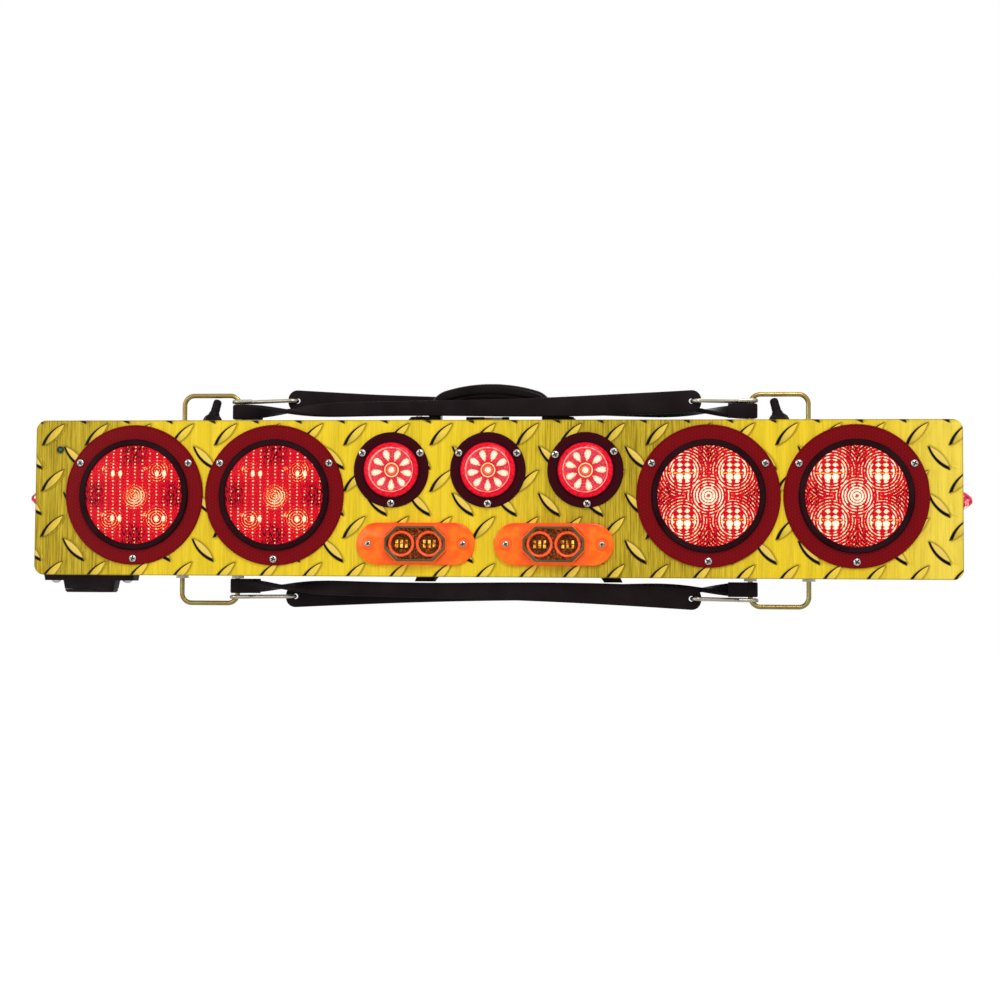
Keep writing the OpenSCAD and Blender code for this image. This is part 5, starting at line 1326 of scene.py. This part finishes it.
class BAR_OT_boots(bpy.types.Operator):
    """Make the rubber boots round the toggle levers"""

    bl_idname = "bar.boots"
    bl_label = "Switch boots"

    base_af: FloatProperty(name="Base", description="Width of the hex base across its flats", default=17 * MM,
                           unit="LENGTH", precision=4)
    pivot: FloatProperty(name="Pivot", description="Height of the lever's pivot over the housing",
                         default=4 * MM, unit="LENGTH", precision=4)
    lean: FloatProperty(name="Lean", description="Lean of the levers at rest", default=radians(15),
                        subtype="ANGLE")

    def execute(self, context):
        paint = moulded("boot_rubber_ribbed", rgb(22, 15, 16), 0.42, 0.6, sheen=0.04)
        corner, turns = self.base_af / sqrt(3), around(48)
        for side, way in (("left", -1), ("right", 1)):
            foot = Vector((middle(f"{side}_switch").x, MID_Y, TOP_Z))
            pivot = foot + UP * self.pivot
            axis = Vector((-way * sin(self.lean), 0, cos(self.lean)))
            across = DEEP.cross(axis)
            rings = [[foot + UP * height * MM + self.hexagon(a, corner * size) for a in turns]
                     for size, height in ((1.0, 0.0), (1.0, 5.9), (0.97, 6.5), (0.8, 9.3))]
            for radius, height in metres(
                    (5.8, 6.2), (5.3, 8.4), (4.6, 9.6), (4.3, 10.6), (4.55, 11.4), (4.3, 12.2), (4.55, 13.0),
                    (4.3, 13.8), (4.25, 19.4), (3.9, 20.9), (3.1, 22.1), (1.7, 22.8), (0.3, 22.9)):
                rings.append([pivot + axis * height + (across * cos(a) + DEEP * sin(a)) * radius
                              for a in turns])
            name = f"{side}_switch_boot"
            piece = piece_from(name + "_rubber", loft(name + "_rubber", rings, sharp=50.0), paint, body=None,
                               replaces=[name])
            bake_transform(piece)
        return {"FINISHED"}

    def hexagon(self, angle, corner):
        """Point of a hexagon's outline in the direction of an angle."""
        beside = angle % (pi / 3) - pi / 6
        reach = corner * cos(pi / 6) / cos(beside)
        return Vector((cos(angle) * reach, sin(angle) * reach, 0))


class BAR_OT_stage(bpy.types.Operator):
    """Set the camera, the soft lights and the pale floor"""

    bl_idname = "bar.stage"
    bl_label = "Stage"

    yaw: FloatProperty(name="Yaw", description="Camera's turn to the right of straight on",
                       default=radians(4.59), subtype="ANGLE")
    pitch: FloatProperty(name="Pitch", description="Camera's height as an angle",
                         default=radians(-2.71), subtype="ANGLE")
    roll: FloatProperty(name="Roll", description="Camera's turn about its view", default=radians(0.34),
                        subtype="ANGLE")
    distance: FloatProperty(name="Distance", description="Camera to the plate", default=1.602, unit="LENGTH")
    lens: FloatProperty(name="Lens", description="Focal length in millimetres", default=58.716)
    target: FloatVectorProperty(name="Target", description="Point on the film that the camera looks at",
                                size=3, default=(0.0109, FACE_Y, -0.0016), unit="LENGTH")

    def execute(self, context):
        scene = context.scene
        cy, sy = cos(self.yaw), sin(self.yaw)
        cp, sp = cos(self.pitch), sin(self.pitch)
        back, right = Vector((sy * cp, -cy * cp, sp)), Vector((cy, sy, 0))
        up = back.cross(right)
        level = cos(self.roll) * right + sin(self.roll) * up
        rise = cos(self.roll) * up - sin(self.roll) * right
        data = bpy.data.cameras.new("camera")
        data.lens = self.lens
        data.sensor_width = 36.0
        data.clip_start, data.clip_end = 0.05, 50.0
        camera = bpy.data.objects.new("camera", data)
        matrix = Matrix((level, rise, back)).transposed().to_4x4()
        matrix.translation = Vector(self.target) + back * self.distance
        camera.matrix_world = matrix
        scene.collection.objects.link(camera)
        scene.camera = camera
        self.lights(scene)
        self.floor()
        scene.view_settings.view_transform = "Standard"
        return {"FINISHED"}

    def lights(self, scene):
        """A pale world, white to the camera and in reflections, and three soft lamps."""
        world = bpy.data.worlds.new("studio")
        scene.world = world
        world.use_nodes = True
        tree = Tree(world.node_tree)
        seen = tree.out("ShaderNodeLightPath", output="Is Camera Ray")
        for ray in ("Is Glossy Ray", "Is Transmission Ray"):
            seen = seen.most(tree.out("ShaderNodeLightPath", output=ray))
        strength = tree.out("ShaderNodeMapRange", {"Value": seen, "To Min": 0.56, "To Max": 1.0})
        sky = world.node_tree.nodes["Background"]
        for socket, value in (("Color", WHITE), ("Strength", strength)):
            tree.wire(value, sky.inputs[socket])
        for name, place, size, power in (
                ("key_lamp", (0.55, -1.6, 1.5), 0.9, 24.0),
                ("fill_lamp", (-1.5, -1.5, 0.4), 1.2, 10.0),
                ("rim_lamp", (0.2, 1.4, 1.2), 1.0, 10.0)):
            lamp = bpy.data.lights.new(name, "AREA")
            lamp.size, lamp.energy = size, power
            holder = bpy.data.objects.new(name, lamp)
            holder.location = place
            holder.rotation_euler = (-Vector(place)).to_track_quat("-Z", "Y").to_euler()
            scene.collection.objects.link(holder)

    def floor(self):
        """A wide pale floor under the bar, white to the camera but for the bar's shadow."""
        paint = Paint("pale_floor", Roughness=0.9, Specular_IOR_Level=0.1)
        speck = paint.place().noise(3.0)
        paint.coat(Base_Color=speck.ramp((0.0, 224, 224, 224), (1.0, 232, 232, 232)), Emission_Color=WHITE,
                   Emission_Strength=paint.out("ShaderNodeLightPath", output="Is Camera Ray") * 0.55)
        half, drop = 6.0, CAD_BOX[0].z - 0.25
        mesh = mesh_from("floor", [(x * half, y * half, drop) for x, y in SQUARE], [(0, 1, 2, 3)])
        piece_from("floor", mesh, paint.material, body=None)


class BAR_PT_panel(bpy.types.Panel):
    """Lists the steps that dress the bar"""

    bl_label = "Light Bar"
    bl_idname = "BAR_PT_panel"
    bl_space_type = "VIEW_3D"
    bl_region_type = "UI"
    bl_category = "Light Bar"

    def draw(self, context):
        for field in BarSizes.__annotations__:
            self.layout.prop(context.scene.bar_sizes, field)
        for step in STEPS:
            self.layout.operator(step.bl_idname)


STEPS = (BAR_OT_stage, BAR_OT_finishes, BAR_OT_lugs, BAR_OT_stop_lamps, BAR_OT_marker_lamps, BAR_OT_strobes,
         BAR_OT_screws, BAR_OT_straps, BAR_OT_grip, BAR_OT_boots)
CLASSES = (BarSizes, *STEPS, BAR_PT_panel)


def register():
    for item in CLASSES:
        bpy.utils.register_class(item)
    bpy.types.Scene.bar_sizes = PointerProperty(type=BarSizes)


def unregister():
    del bpy.types.Scene.bar_sizes
    for item in reversed(CLASSES):
        bpy.utils.unregister_class(item)


def main():
    register()
    for step in STEPS:
        group, name = step.bl_idname.split(".")
        getattr(getattr(bpy.ops, group), name)()


if __name__ == "__main__":
    main()
